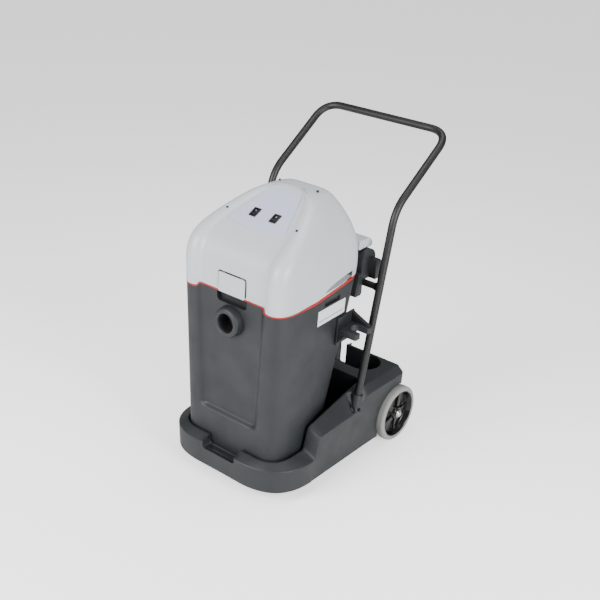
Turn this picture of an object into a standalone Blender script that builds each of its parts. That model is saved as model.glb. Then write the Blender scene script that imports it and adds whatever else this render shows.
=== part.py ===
"""Commercial wet-and-dry cleaning vacuum: a tank and motor head on a wheeled trolley.

Metres, +Z up. The front (hose inlet, latch) faces -Y, +X is the side with the tool holder.
The origin is under the middle of the machine's box, on the floor.
"""
import math

import bmesh
import bpy
from mathutils import Matrix, Vector

# ---- clearances ---------------------------------------------------------------------------
GAP = 0.0003                 # between pieces that touch
RUN = 0.0010                 # between pieces that move past each other

# ---- trolley base -------------------------------------------------------------------------
BASE_HALF = 0.258            # half width of the moulding
BASE_FRONT, BASE_REAR = -0.400, 0.272
BASE_BOTTOM, FLOOR_TOP = 0.048, 0.085
BASE_WALL = 0.0045           # wall of the moulding
FRONT_REACH, REAR_REACH = 0.165, 0.040
BAY_HALF = 0.206             # the bay that the tank stands in
BAY_FRONT, BAY_REAR = -0.364, 0.075
BAY_FRONT_REACH, BAY_REAR_REACH = 0.085, 0.030
RIM_EDGE, RIM_TOP = 0.122, 0.140
STEP_FRONT, STEP_REAR = -0.226, -0.208
SIDE_EDGE, SIDE_TOP = 0.198, 0.216
CREST_END, CREST_TOP = -0.016, 0.260
HUMP_START, HUMP_EDGE, HUMP_TOP = 0.045, 0.244, 0.272
HUMP_BEVEL = 0.020
POCKET_HALF, POCKET_FRONT, POCKET_REAR, POCKET_FLOOR = 0.195, 0.128, 0.244, 0.130
POCKET_WALL = 0.005
NOTCH_HALF, NOTCH_FLOOR = 0.068, 0.103
REAR_NOTCH_HALF, REAR_NOTCH_FLOOR = 0.020, 0.180

# ---- rear wheels and axle -----------------------------------------------------------------
WHEEL_RADIUS, WHEEL_WIDTH, WHEEL_Y, WHEEL_OUTER = 0.100, 0.036, 0.226, 0.277
RIM_RADIUS = 0.084
AXLE_RADIUS = 0.010
ARCH_GAP, ARCH_DEPTH = 0.008, 0.016      # round the tyre, and beside it

# ---- front casters ------------------------------------------------------------------------
CASTER_X, CASTER_Y = 0.130, -0.235
CASTER_RADIUS, CASTER_WIDTH, CASTER_TRAIL = 0.025, 0.020, 0.018
STEM_RADIUS, STEM_BOSS = 0.0055, 0.013
CASTER_PIN = 0.003
STEM_SEAT, STEM_HOLE = 0.057, 0.079      # heights of the boss's foot and of its blind hole's end

# ---- push handle --------------------------------------------------------------------------
TUBE_RADIUS, HANDLE_HALF = 0.0125, 0.244
FOOT_Y, FOOT_Z = 0.006, 0.259
ELBOW_Y, ELBOW_Z = 0.113, 0.877
GRIP_Y, GRIP_Z = 0.3875, 1.072
ELBOW_BEND, CORNER_BEND = 0.050, 0.070
SOCKET_DEPTH, SOCKET_WALL = 0.090, 0.005
CROSS_RADIUS, CROSS_Z = 0.011, 0.625
BOLT_DROP, BOLT_RECESS = 0.050, 0.009
BOLT_SEAT = HANDLE_HALF + TUBE_RADIUS + 0.0025

# ---- tank ---------------------------------------------------------------------------------
TANK_WALL, TANK_FRONT, PANEL_DEPTH = 0.004, -0.364, 0.010
TANK_DRAFT, TANK_REAR_DRAFT = 0.012, 0.113
TANK_HALF, TANK_HALF_REAR, TANK_REAR = 0.206, 0.196, 0.031
SOFT_EDGE_Y, SOFT_SHARE = -0.209, 0.388
FLUTE_WIDTH, SHOULDER_REACH, SOFT_REACH, BACK_REACH = 0.011, 0.062, 0.045, 0.055
PANEL_HALF, PANEL_HALF_LOW, PANEL_FOOT = 0.128, 0.109, 0.232
SEAM_Z, SEAM_RISE, SEAM_STEP = 0.647, 0.108, 0.011
RING_HEIGHT, RING_WIDTH, RING_PROUD, RIM_BAND = 0.0042, 0.0035, 0.0006, 0.014
INLET_Z, INLET_BORE, INLET_FACE, INLET_ROOT, INLET_LENGTH = 0.570, 0.0305, 0.0475, 0.055, 0.028
INLET_NECK = 0.036
GRIP_SLOT_HALF, GRIP_SLOT_LOW, GRIP_SLOT_DEPTH = 0.060, 0.628, 0.016
SIDE_SLOT_Y, SIDE_SLOT_LENGTH, SIDE_SLOT_Z, SIDE_SLOT_HEIGHT = -0.118, 0.080, 0.626, 0.016
LABEL_LENGTH, LABEL_HEIGHT, LABEL_THICK, LABEL_LIFT = 0.146, 0.050, 0.0009, 0.0013
LABEL_Y, LABEL_Z = -0.118, 0.588

# ---- tool holder --------------------------------------------------------------------------
FORK_Z, FORK_THICK, FORK_TIP = 0.517, 0.020, 0.272
FORK_NEAR, FORK_FAR, FORK_SLOT = -0.079, 0.012, 0.040

# ---- rear bracket and head hinge ----------------------------------------------------------
PIN_Y, PIN_Z, PIN_RADIUS = 0.083, 0.700, 0.004
BARREL_RADIUS, BRACKET_HALF, LEG_FOOT = 0.036, 0.188, 0.585
WING_HALF, WING_FRONT, WING_TOP = 0.212, 0.090, 0.702
EAR_X, EAR_WIDTH, EAR_RADIUS = 0.105, 0.018, 0.014
CAP_HALF, CAP_HEIGHT = 0.176, 0.030

# ---- motor head ---------------------------------------------------------------------------
COVER_WALL, DECK_Z, DECK_THICK = 0.0035, 0.690, 0.012
PANEL_SLOPE = math.radians(27.5)
PANEL_Y, PANEL_Z = -0.214, 0.870
PLATE_THICK, PLATE_LOW, PLATE_HIGH = 0.0025, -0.050, 0.118
PLATE_HALF_LOW, PLATE_HALF_HIGH = 0.113, 0.052
SWITCH_X, SWITCH_WIDTH, SWITCH_LENGTH, SWITCH_DEPTH = 0.0395, 0.020, 0.030, 0.018
BEZEL_RIM, BEZEL_THICK = 0.003, 0.002
ROCKER_RADIUS, ROCKER_WIDTH, ROCKER_TILT = 0.0118, 0.0150, math.radians(9)
FLAP_HALF, FLAP_TOP, FLAP_LOW, FLAP_THICK = 0.053, 0.7195, 0.655, 0.0035
FLAP_PIN_Z, FLAP_PIN_RADIUS = 0.7160, 0.0014
FLAP_SWING = 0.0032          # room above the flap for its top edge to turn in
MOTOR_X, MOTOR_Y, MOTOR_RADIUS, MOTOR_HEIGHT = 0.078, -0.150, 0.068, 0.105
MOTOR_SEAL = 0.006
CAGE_Y, CAGE_RADIUS, CAGE_HEIGHT, CAGE_WALL = -0.150, 0.055, 0.105, 0.003
BALL_RADIUS, DRAIN_HOLE, AIR_HOLE = 0.030, 0.012, 0.022
SCREW_RADIUS = 0.0040
FRONT_SCREW, REAR_SCREW = (0.137, -0.232), (0.076, -0.062)
GLAND_X, GLAND_Z, GLAND_RADIUS = 0.0, 0.800, 0.010

# ---- colours ------------------------------------------------------------------------------
DARK = (0.070, 0.080, 0.084)
LIGHT = (0.610, 0.625, 0.650)
PLATE = (0.660, 0.680, 0.760)
RED = (0.560, 0.030, 0.020)
BLACK = (0.008, 0.008, 0.008)
TYRE = (0.380, 0.380, 0.370)
STEEL = (0.550, 0.550, 0.540)


# ---- helpers ------------------------------------------------------------------------------
def clear_scene():
    for old in list(bpy.data.objects):
        bpy.data.objects.remove(old, do_unlink=True)
    for old in list(bpy.data.collections):
        bpy.data.collections.remove(old)


def material(name, colour, roughness, metallic=0.0):
    mat = bpy.data.materials.new(name)
    mat.use_nodes = True
    shader = mat.node_tree.nodes["Principled BSDF"]
    shader.inputs["Base Color"].default_value = (*colour, 1.0)
    shader.inputs["Roughness"].default_value = roughness
    shader.inputs["Metallic"].default_value = metallic
    return mat


def add_object(name, mesh, mat, collection):
    obj = bpy.data.objects.new(name, mesh)
    if mat:
        mesh.materials.clear()
        mesh.materials.append(mat)
    collection.objects.link(obj)
    return obj


def add_part(name, mesh, mat, smooth=30):
    mesh.shade_smooth()
    mesh.set_sharp_from_angle(angle=math.radians(smooth))
    return add_object(name, mesh, mat, PARTS)


def add_cutter(name, mesh):
    cutter = add_object(name, mesh, None, CUTTERS)
    cutter.hide_render = True
    cutter.display_type = "WIRE"
    return cutter


def combine(obj, mesh, operation):
    """Join or cut obj with a closed mesh, through a named cutter object."""
    cutter = add_cutter(f"{obj.name}_{operation.lower()}_{len(obj.modifiers)}", mesh)
    modifier = obj.modifiers.new(operation.title(), "BOOLEAN")
    modifier.operation = operation
    modifier.object = cutter
    return cutter


def join(obj, mesh):
    return combine(obj, mesh, "UNION")


def cut(obj, mesh):
    return combine(obj, mesh, "DIFFERENCE")


def to_mesh(bm, matrix=None):
    if matrix is not None:
        bm.transform(matrix)
    bmesh.ops.recalc_face_normals(bm, faces=bm.faces)
    if bm.calc_volume(signed=True) < 0:
        bmesh.ops.reverse_faces(bm, faces=bm.faces)
    mesh = bpy.data.meshes.new("mesh")
    bm.to_mesh(mesh)
    bm.free()
    return mesh


def box(low, high, bevel=0.0, matrix=None):
    """A box between two corners, with its edges rounded over by bevel."""
    low, high = Vector(low), Vector(high)
    bm = bmesh.new()
    bmesh.ops.create_cube(bm, size=1.0)
    scale = Matrix.Diagonal((*(high - low), 1.0))
    bm.transform(Matrix.Translation((low + high) / 2) @ scale)
    if bevel:
        bmesh.ops.bevel(bm, geom=bm.edges[:], offset=bevel, segments=2, affect="EDGES", profile=0.5)
    return to_mesh(bm, matrix)


def cylinder(start, end, radius, segments=32, end_radius=None):
    """A cylinder or cone between two points."""
    start, end = Vector(start), Vector(end)
    axis = end - start
    top = radius if end_radius is None else end_radius
    bm = bmesh.new()
    bmesh.ops.create_cone(bm, cap_ends=True, segments=segments, radius1=radius, radius2=top,
                          depth=axis.length)
    turn = Vector((0, 0, 1)).rotation_difference(axis.normalized()).to_matrix().to_4x4()
    return to_mesh(bm, Matrix.Translation((start + end) / 2) @ turn)


def corner(before, point, after, reach, steps):
    """A rounded corner: a curve that leaves one side and joins the next, reach from the corner."""
    point = Vector(point)
    start = point + (Vector(before) - point).normalized() * reach
    end = point + (Vector(after) - point).normalized() * reach
    points = []
    for i in range(steps + 1):
        t = i / steps
        points.append((1 - t) ** 2 * start + 2 * t * (1 - t) * point + t ** 2 * end)
    return points


def outline(right_side):
    """A closed outline from the corners of its +X half: (x, y, reach, steps), front to rear."""
    corners = [Vector((x, y)) for x, y, _, _ in right_side]
    first = Vector((-corners[0].x, corners[0].y))
    last = Vector((-corners[-1].x, corners[-1].y))
    chain = [first, *corners, last]
    right = []
    for i, (_, _, reach, steps) in enumerate(right_side):
        right += corner(chain[i], chain[i + 1], chain[i + 2], reach, steps)
    left = [Vector((-p.x, p.y)) for p in reversed(right)]
    return right + left


def inset(points, distance):
    """The outline moved inwards by distance along its vertex normals."""
    moved = []
    for i, point in enumerate(points):
        side = (points[(i + 1) % len(points)] - points[i - 1]).normalized()
        moved.append(point + Vector((-side.y, side.x)) * distance)
    return moved


def loft(rows, cap_first, cap_last, ring=False):
    """Faces between rows of points that have the same number of points."""
    bm = bmesh.new()
    grid = [[bm.verts.new(point) for point in row] for row in rows]
    count = len(grid[0])
    pairs = list(zip(grid, grid[1:]))
    if ring:
        pairs.append((grid[-1], grid[0]))
    for lower, upper in pairs:
        for i in range(count):
            j = (i + 1) % count
            bm.faces.new((lower[i], lower[j], upper[j], upper[i]))
    if cap_first:
        bm.faces.new(list(reversed(grid[0])))
    if cap_last:
        bm.faces.new(grid[-1])
    return bm


def sheet(bm):
    """A mesh from an open surface whose faces already point outwards."""
    mesh = bpy.data.meshes.new("sheet")
    bm.to_mesh(mesh)
    bm.free()
    return mesh


def solidify(obj, thickness):
    modifier = obj.modifiers.new("Wall", "SOLIDIFY")
    modifier.thickness = thickness
    modifier.offset = -1.0
    modifier.use_even_offset = False


def prism(points, low, high, axis="x"):
    """A flat outline pushed from low to high along an axis; its points give the other two."""
    place = {
        "x": lambda p, d: (d, p[0], p[1]),
        "y": lambda p, d: (p[0], d, p[1]),
        "z": lambda p, d: (p[0], p[1], d),
    }[axis]
    bm = loft([[place(p, d) for p in points] for d in (low, high)], True, True)
    return to_mesh(bm)


def turned(profile, matrix, steps=40):
    """A closed (radius, height) profile turned about Z, then placed by matrix."""
    rows = []
    for i in range(steps):
        angle = 2 * math.pi * i / steps
        rows.append([(r * math.cos(angle), r * math.sin(angle), h) for r, h in profile])
    return to_mesh(loft(rows, False, False, ring=True), matrix)


def stacked(profile, matrix, steps=32):
    """A solid of circles stacked along Z, given as (radius, height), closed at both ends."""
    rows = []
    for radius, height in profile:
        rows.append([(radius * math.cos(2 * math.pi * i / steps), radius * math.sin(2 * math.pi * i / steps),
                      height) for i in range(steps)])
    return to_mesh(loft(rows, True, True), matrix)


def along(axis, point):
    """The placement that lays a turned piece's Z along an axis through a point."""
    turn = Vector((0, 0, 1)).rotation_difference(Vector(axis).normalized())
    return Matrix.Translation(point) @ turn.to_matrix().to_4x4()


def tube(name, points, radius, mat):
    curve = bpy.data.curves.new(name, "CURVE")
    curve.dimensions = "3D"
    curve.bevel_depth = radius
    curve.bevel_resolution = 3
    curve.use_fill_caps = True
    spline = curve.splines.new("POLY")
    spline.points.add(len(points) - 1)
    for place, point in zip(spline.points, points):
        place.co = (*point, 1.0)
    curve.materials.append(mat)
    obj = bpy.data.objects.new(name, curve)
    PARTS.objects.link(obj)
    return obj


# ---- trolley ------------------------------------------------------------------------------
def side_stations():
    """Places along Y where the wall's height changes, from the front curve to the hump."""
    return [STEP_FRONT, STEP_REAR, -0.14, -0.075, CREST_END, 0.5 * (CREST_END + HUMP_START)]


def spread(start, end, count):
    return [start + (end - start) * i / count for i in range(count)]


def base_half(kind):
    """The +X half of the moulding's plan: the outer edge or the bay's edge, same point count."""
    if kind == "outer":
        half, front, rear = BASE_HALF, BASE_FRONT, BASE_REAR
        reach, rear_reach = FRONT_REACH, REAR_REACH
    else:
        half, front, rear = BAY_HALF, BAY_FRONT, BAY_REAR
        reach, rear_reach = BAY_FRONT_REACH, BAY_REAR_REACH
    points = [Vector((x, front)) for x in spread(0.0, half - reach, 3)]
    points += corner((0, front), (half, front), (half, rear), reach, 7)
    points += [Vector((half, y)) for y in side_stations()]
    rear_corner = corner((half, front), (half, rear), (0, rear), rear_reach, 5)
    if kind == "outer":
        points += [Vector((half, y)) for y in spread(HUMP_START, rear - rear_reach, 5)]
        points += rear_corner
        points += [Vector((x, rear)) for x in spread(half - rear_reach, 0.0, 4)[1:]]
    else:
        points += rear_corner[:-1]
        points += [Vector((x, rear)) for x in spread(half - rear_reach, 0.0, 9)]
    return points + [Vector((0.0, rear))]


def wall_heights(y):
    """The wall's outer edge and crest at a place along the side."""
    keys = [
        (BASE_FRONT, RIM_EDGE, RIM_TOP), (STEP_FRONT, RIM_EDGE, RIM_TOP),
        (STEP_REAR, SIDE_EDGE, SIDE_TOP), (CREST_END, SIDE_EDGE + 0.004, CREST_TOP),
        (HUMP_START, HUMP_EDGE, HUMP_TOP), (BASE_REAR, HUMP_EDGE, HUMP_TOP),
    ]
    for (y0, edge0, top0), (y1, edge1, top1) in zip(keys, keys[1:]):
        if y <= y1:
            t = max(0.0, (y - y0) / (y1 - y0))
            return edge0 + t * (edge1 - edge0), top0 + t * (top1 - top0)
    return HUMP_EDGE, HUMP_TOP


def base_rows():
    outer, bay = base_half("outer"), base_half("bay")
    low, edge, crest, lip, floor = [], [], [], [], []
    middle = Vector((0.0, 0.5 * (BAY_FRONT + BAY_REAR)))
    for out, into in zip(outer, bay):
        edge_z, top_z = wall_heights(out.y)
        inward = (into - out).normalized()
        share = min(1.0, max(0.0, (out.y - CREST_END) / (HUMP_START - CREST_END)))
        width = (into - out).length
        band = (width - 0.006) * (1 - share) + min(HUMP_BEVEL, 0.5 * width) * share
        top = out + inward * band
        low.append((*(out + inward * 0.004), BASE_BOTTOM))
        edge.append((*out, edge_z))
        crest.append((*top, top_z))
        lip.append((*into, top_z))
        floor.append((*(into + (middle - into).normalized() * 0.005), FLOOR_TOP))
    rows = [low, edge, crest, lip, floor]
    return [row + [(-x, y, z) for x, y, z in reversed(row[1:-1])] for row in rows]


def handle_line():
    """The direction of the upright, from its foot to its elbow."""
    return Vector((0.0, ELBOW_Y - FOOT_Y, ELBOW_Z - FOOT_Z)).normalized()


def upright_y(z):
    return FOOT_Y + (ELBOW_Y - FOOT_Y) * (z - FOOT_Z) / (ELBOW_Z - FOOT_Z)


def stadium(half, front, rear, steps=6):
    """A long slot with half-round ends."""
    radius = 0.5 * (rear - front)
    middle = 0.5 * (rear + front)
    points = []
    for side in (1, -1):
        for i in range(steps + 1):
            angle = side * (-math.pi / 2 + math.pi * i / steps)
            x = side * (half - radius + radius * math.cos(angle))
            points.append((x, middle + side * radius * math.sin(side * angle)))
    return points


def trim_frame():
    """A frame just outside the moulding's upright wall, which trims what sticks through it."""
    low, edge = base_rows()[:2]

    def grown(row, distance):
        plan = inset([Vector(point[:2]) for point in row], -distance)
        return [(p.x, p.y, q[2]) for p, q in zip(plan, row)]

    far = 0.15
    below = [(x, y, z - far) for x, y, z in grown(low, GAP)]
    return to_mesh(loft([below, grown(edge, GAP), grown(edge, far), [
        (x, y, z - far) for x, y, z in grown(low, far)]], False, False, ring=True))


def make_base():
    base = add_part("trolley_base", sheet(loft(base_rows(), False, True)), MATS["dark"], 35)
    solidify(base, BASE_WALL)
    arch, arch_inner = WHEEL_RADIUS + ARCH_GAP, WHEEL_OUTER - WHEEL_WIDTH - ARCH_DEPTH
    for side in (1, -1):
        join(base, cylinder((side * (arch_inner - BASE_WALL), WHEEL_Y, WHEEL_RADIUS),
                            (side * (BASE_HALF - 0.001), WHEEL_Y, WHEEL_RADIUS), arch + BASE_WALL, 36))
    cut(base, trim_frame())
    cut(base, box((-1.0, -1.0, -1.0), (1.0, 1.0, BASE_BOTTOM)))
    up = handle_line()
    for side in (1, -1):
        foot = Vector((side * HANDLE_HALF, FOOT_Y, FOOT_Z))
        join(base, cylinder(foot - up * (SOCKET_DEPTH + SOCKET_WALL), foot + up * 0.002,
                            TUBE_RADIUS + SOCKET_WALL, 20))
        join(base, cylinder((side * CASTER_X, CASTER_Y, STEM_SEAT),
                            (side * CASTER_X, CASTER_Y, FLOOR_TOP - 0.001), STEM_BOSS, 16))
    cup = stadium(POCKET_HALF + POCKET_WALL, POCKET_FRONT - POCKET_WALL, POCKET_REAR + POCKET_WALL)
    join(base, prism(cup, POCKET_FLOOR - POCKET_WALL, HUMP_TOP - 0.002, "z"))
    join(base, box((-NOTCH_HALF - POCKET_WALL, BASE_FRONT + 0.0025, NOTCH_FLOOR - POCKET_WALL),
                   (NOTCH_HALF + POCKET_WALL, BAY_FRONT - 0.001, RIM_EDGE + 0.006)))
    join(base, box((-REAR_NOTCH_HALF - POCKET_WALL, POCKET_REAR, REAR_NOTCH_FLOOR - POCKET_WALL),
                   (REAR_NOTCH_HALF + POCKET_WALL, BASE_REAR - 0.001, HUMP_TOP - 0.002)))
    for side in (1, -1):
        foot = Vector((side * HANDLE_HALF, FOOT_Y, FOOT_Z))
        bolt = foot - up * BOLT_DROP
        cut(base, cylinder(foot - up * SOCKET_DEPTH, foot + up * 0.05, TUBE_RADIUS + GAP, 20))
        cut(base, cylinder((side * arch_inner, WHEEL_Y, WHEEL_RADIUS),
                           (side * (BASE_HALF + 0.05), WHEEL_Y, WHEEL_RADIUS), arch, 36))
        cut(base, cylinder((side * (arch_inner - 0.02), WHEEL_Y, WHEEL_RADIUS),
                           (side * (arch_inner + 0.02), WHEEL_Y, WHEEL_RADIUS), AXLE_RADIUS + GAP, 20))
        cut(base, cylinder((side * CASTER_X, CASTER_Y, BASE_BOTTOM - 0.02),
                           (side * CASTER_X, CASTER_Y, STEM_HOLE), STEM_RADIUS + GAP, 16))
        cut(base, cylinder((side * BOLT_SEAT, bolt.y, bolt.z), (side * (BOLT_SEAT + 0.05), bolt.y, bolt.z),
                           BOLT_RECESS, 16))
    cut(base, prism(stadium(POCKET_HALF, POCKET_FRONT, POCKET_REAR), POCKET_FLOOR, HUMP_TOP + 0.05, "z"))
    cut(base, box((-NOTCH_HALF, BASE_FRONT - 0.02, NOTCH_FLOOR),
                  (NOTCH_HALF, BAY_FRONT + 0.008, RIM_TOP + 0.05), 0.008))
    cut(base, box((-REAR_NOTCH_HALF, POCKET_REAR - 0.01, REAR_NOTCH_FLOOR),
                  (REAR_NOTCH_HALF, BASE_REAR + 0.02, HUMP_TOP + 0.05)))
    return base


def make_handle():
    """The bent push handle, its cross tube and the two bolts that hold its feet."""
    up = handle_line()
    start = Vector((HANDLE_HALF, FOOT_Y, FOOT_Z)) - up * (SOCKET_DEPTH - GAP)
    elbow = Vector((HANDLE_HALF, ELBOW_Y, ELBOW_Z))
    grip = Vector((HANDLE_HALF, GRIP_Y, GRIP_Z))
    half = [start]
    half += corner(start, elbow, grip, ELBOW_BEND, 6)
    half += corner(elbow, grip, grip - Vector((1, 0, 0)), CORNER_BEND, 8)
    left = [Vector((-p.x, p.y, p.z)) for p in reversed(half)]
    tube("push_handle", half + left, TUBE_RADIUS, MATS["black_gloss"])
    reach = HANDLE_HALF - TUBE_RADIUS - GAP
    y = upright_y(CROSS_Z)
    add_part("cross_tube", cylinder((-reach, y, CROSS_Z), (reach, y, CROSS_Z), CROSS_RADIUS, 24),
             MATS["black_gloss"])
    for side, name in ((1, "right"), (-1, "left")):
        bolt = Vector((side * HANDLE_HALF, FOOT_Y, FOOT_Z)) - up * BOLT_DROP
        seat = BOLT_SEAT + GAP
        head = cylinder((side * seat, bolt.y, bolt.z), (side * (seat + 0.0045), bolt.y, bolt.z), 0.006, 6)
        add_part(f"handle_bolt_{name}", head, MATS["steel"])


def make_wheels():
    width = WHEEL_WIDTH
    inner = WHEEL_OUTER - width
    reach = WHEEL_OUTER + 0.002
    add_part("rear_axle", cylinder((-reach, WHEEL_Y, WHEEL_RADIUS), (reach, WHEEL_Y, WHEEL_RADIUS),
                                   AXLE_RADIUS, 24), MATS["steel"])
    for side, name in ((1, "right"), (-1, "left")):
        place = along((side, 0, 0), (side * inner, WHEEL_Y, WHEEL_RADIUS))
        seat = RIM_RADIUS + GAP
        tread = [(seat, 0.0), (WHEEL_RADIUS - 0.006, 0.0), (WHEEL_RADIUS, 0.007),
                 (WHEEL_RADIUS, width - 0.009), (WHEEL_RADIUS - 0.005, width), (seat, width)]
        add_part(f"tyre_{name}", turned(tread, place, 36), MATS["tyre"])
        bore, hub = AXLE_RADIUS + GAP, 0.020
        rim = [(bore, -0.008), (hub, -0.008), (hub, 0.010), (RIM_RADIUS - 0.008, 0.010),
               (RIM_RADIUS - 0.006, 0.002), (RIM_RADIUS, 0.002), (RIM_RADIUS, width - 0.002),
               (RIM_RADIUS - 0.005, width - 0.002), (RIM_RADIUS - 0.009, 0.018), (hub + 0.003, 0.016),
               (hub, width - 0.004), (bore, width - 0.004)]
        add_part(f"rim_{name}", turned(rim, place, 36), MATS["black_gloss"])
        cap_seat = width - 0.004 + GAP
        dome = [(0.017, cap_seat), (0.017, cap_seat + 0.003), (0.015, cap_seat + 0.0065),
                (0.011, cap_seat + 0.009), (0.005, cap_seat + 0.0105)]
        cap = add_part(f"axle_cap_{name}", stacked(dome, place, 24), MATS["steel"])
        cut(cap, cylinder((side * (reach - 0.02), WHEEL_Y, WHEEL_RADIUS),
                          (side * (reach + GAP), WHEEL_Y, WHEEL_RADIUS), AXLE_RADIUS + GAP, 24))


def make_casters():
    top = STEM_SEAT - RUN
    for side, name in ((1, "right"), (-1, "left")):
        x = side * CASTER_X
        wheel_y = CASTER_Y + CASTER_TRAIL
        half = 0.5 * CASTER_WIDTH
        cheek = half + 0.0015
        fork = add_part(f"caster_fork_{name}", box((x - cheek - 0.002, CASTER_Y - 0.014, 0.015),
                                                   (x + cheek + 0.002, wheel_y + 0.010, top)),
                        MATS["steel"])
        join(fork, cylinder((x, CASTER_Y, top - 0.001), (x, CASTER_Y, STEM_HOLE - 2 * GAP),
                            STEM_RADIUS, 16))
        cut(fork, box((x - cheek, CASTER_Y - 0.03, 0.0), (x + cheek, wheel_y + 0.03, top - 0.0025)))
        cut(fork, box((x - 0.03, CASTER_Y - 0.03, 0.0), (x + 0.03, CASTER_Y + 0.004, 0.040)))
        cut(fork, cylinder((x - 0.03, wheel_y, CASTER_RADIUS), (x + 0.03, wheel_y, CASTER_RADIUS),
                           CASTER_PIN + GAP, 16))
        roll = CASTER_RADIUS
        place = along((1, 0, 0), (x - half, wheel_y, CASTER_RADIUS))
        profile = [(CASTER_PIN + GAP, 0.0), (roll - 0.003, 0.0), (roll, 0.003), (roll, CASTER_WIDTH - 0.003),
                   (roll - 0.003, CASTER_WIDTH), (CASTER_PIN + GAP, CASTER_WIDTH)]
        add_part(f"caster_wheel_{name}", turned(profile, place, 24), MATS["tyre"])
        reach = cheek + 0.0035
        add_part(f"caster_axle_{name}", cylinder((x - reach, wheel_y, CASTER_RADIUS),
                                                 (x + reach, wheel_y, CASTER_RADIUS), CASTER_PIN, 16),
                 MATS["steel"])


# ---- tank ---------------------------------------------------------------------------------
def seam(x, y):
    """The height of the joint between tank and head; the front panel's part is a step higher."""
    height = SEAM_Z + SEAM_RISE * max(0.0, y - SOFT_EDGE_Y)
    if abs(x) < PANEL_HALF + 0.004 and y < SOFT_EDGE_Y:
        height += SEAM_STEP
    return height


def shell_outline(half, front, soft, half_rear, rear, panel_half, depth):
    """The plan of the tank and head: a recessed front panel between two rounded shoulders."""
    scale = min(1.0, max(0.15, (half - 0.04) / 0.12))
    flute = FLUTE_WIDTH * scale
    shoulder = half - panel_half - 1.6 * flute
    front_reach = min(SHOULDER_REACH, 0.95 * shoulder, 0.5 * (soft - front))
    soft_reach = min(SOFT_REACH, 0.4 * (soft - front), 0.4 * (rear - soft))
    rear_reach = min(BACK_REACH, 0.5 * (rear - soft), 0.7 * half_rear)
    return outline([
        (panel_half, front + depth, 0.4 * flute, 2),
        (panel_half + flute, front, 0.5 * flute, 2),
        (half, front, front_reach, 6),
        (half, soft, soft_reach, 2),
        (half_rear, rear, rear_reach, 6),
    ])


def tank_outline(z, depth=PANEL_DEPTH):
    down = (SEAM_Z - z) / (SEAM_Z - FLOOR_TOP)
    return shell_outline(TANK_HALF - TANK_DRAFT * down, TANK_FRONT + 0.010 * down, SOFT_EDGE_Y,
                         TANK_HALF_REAR - 0.030 * down, TANK_REAR - TANK_REAR_DRAFT * down,
                         PANEL_HALF + (PANEL_HALF_LOW - PANEL_HALF) * down, depth)


def tank_rear(z):
    down = (SEAM_Z - z) / (SEAM_Z - FLOOR_TOP)
    return TANK_REAR - TANK_REAR_DRAFT * down


def at(points, z):
    return [(p.x, p.y, z) for p in points]


def side_plane(y, z):
    """The tank's flat side: a point on it and its outward direction in plan."""
    down = (SEAM_Z - z) / (SEAM_Z - FLOOR_TOP)
    front_half = TANK_HALF - TANK_DRAFT * down
    rear_half = TANK_HALF_REAR - 0.030 * down
    rear = tank_rear(z)
    share = (y - SOFT_EDGE_Y) / (rear - SOFT_EDGE_Y)
    x = front_half + (rear_half - front_half) * share
    return x, math.atan2(front_half - rear_half, rear - SOFT_EDGE_Y)


def make_tank():
    floor = FLOOR_TOP + GAP
    rim = tank_outline(SEAM_Z)
    rows = [
        at(inset(tank_outline(floor, 0.0), 0.010), floor),
        at(tank_outline(floor + 0.010, 0.0), floor + 0.010),
        at(tank_outline(PANEL_FOOT, 0.0), PANEL_FOOT),
        at(tank_outline(PANEL_FOOT + 0.022), PANEL_FOOT + 0.022),
        at(tank_outline(0.450), 0.450),
        [(p.x, p.y, seam(p.x, p.y) - RING_HEIGHT - RIM_BAND) for p in rim],
        [(p.x, p.y, seam(p.x, p.y) - RING_HEIGHT - 3 * GAP) for p in rim],
    ]
    tank = add_part("container", sheet(loft(rows, True, False)), MATS["dark"], 35)
    solidify(tank, TANK_WALL)
    panel = TANK_FRONT + PANEL_DEPTH
    liner = 0.003
    join(tank, box((-GRIP_SLOT_HALF - liner, panel + 0.002, GRIP_SLOT_LOW - liner),
                   (GRIP_SLOT_HALF + liner, panel + GRIP_SLOT_DEPTH + liner, SEAM_Z - 0.002)))
    cut(tank, box((-GRIP_SLOT_HALF, panel - 0.02, GRIP_SLOT_LOW),
                  (GRIP_SLOT_HALF, panel + GRIP_SLOT_DEPTH, SEAM_Z - 0.005), 0.004))
    cut(tank, cylinder((0, panel - 0.03, INLET_Z), (0, panel + 0.03, INLET_Z), INLET_NECK + GAP, 36))
    turn_x, angle = side_plane(SIDE_SLOT_Y, SIDE_SLOT_Z)
    for side in (1, -1):
        place = Matrix.Translation((side * turn_x, SIDE_SLOT_Y, SIDE_SLOT_Z)) @ Matrix.Rotation(
            side * angle, 4, "Z")
        length, height = 0.5 * SIDE_SLOT_LENGTH, 0.5 * SIDE_SLOT_HEIGHT
        depth = 0.010
        join(tank, box((-depth - liner, -length - liner, -height - liner),
                       (depth + liner, length + liner, height + liner), 0.0,
                       place @ Matrix.Translation((-side * (depth + liner + 0.002), 0, 0))))
        cut(tank, box((-depth, -length, -height), (depth, length, height), 0.0, place))
    return tank


def make_inlet():
    """The hose inlet: a round boss on the front, a neck through the wall and a turned-down lip."""
    panel = TANK_FRONT + PANEL_DEPTH
    place = along((0, -1, 0), (0, panel + 0.004, INLET_Z))
    out = 0.004 + 0.0018
    neck = INLET_NECK
    profile = [(INLET_BORE, -0.020), (neck, -0.020), (neck, out), (INLET_ROOT, out), (INLET_ROOT, out + 0.004),
               (INLET_FACE + 0.001, out + 0.009), (INLET_FACE, INLET_LENGTH),
               (INLET_FACE - 0.006, INLET_LENGTH + 0.004), (INLET_BORE + 0.004, INLET_LENGTH + 0.004),
               (INLET_BORE, INLET_LENGTH)]
    add_part("hose_inlet", turned(profile, place, 36), MATS["dark"])


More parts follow.
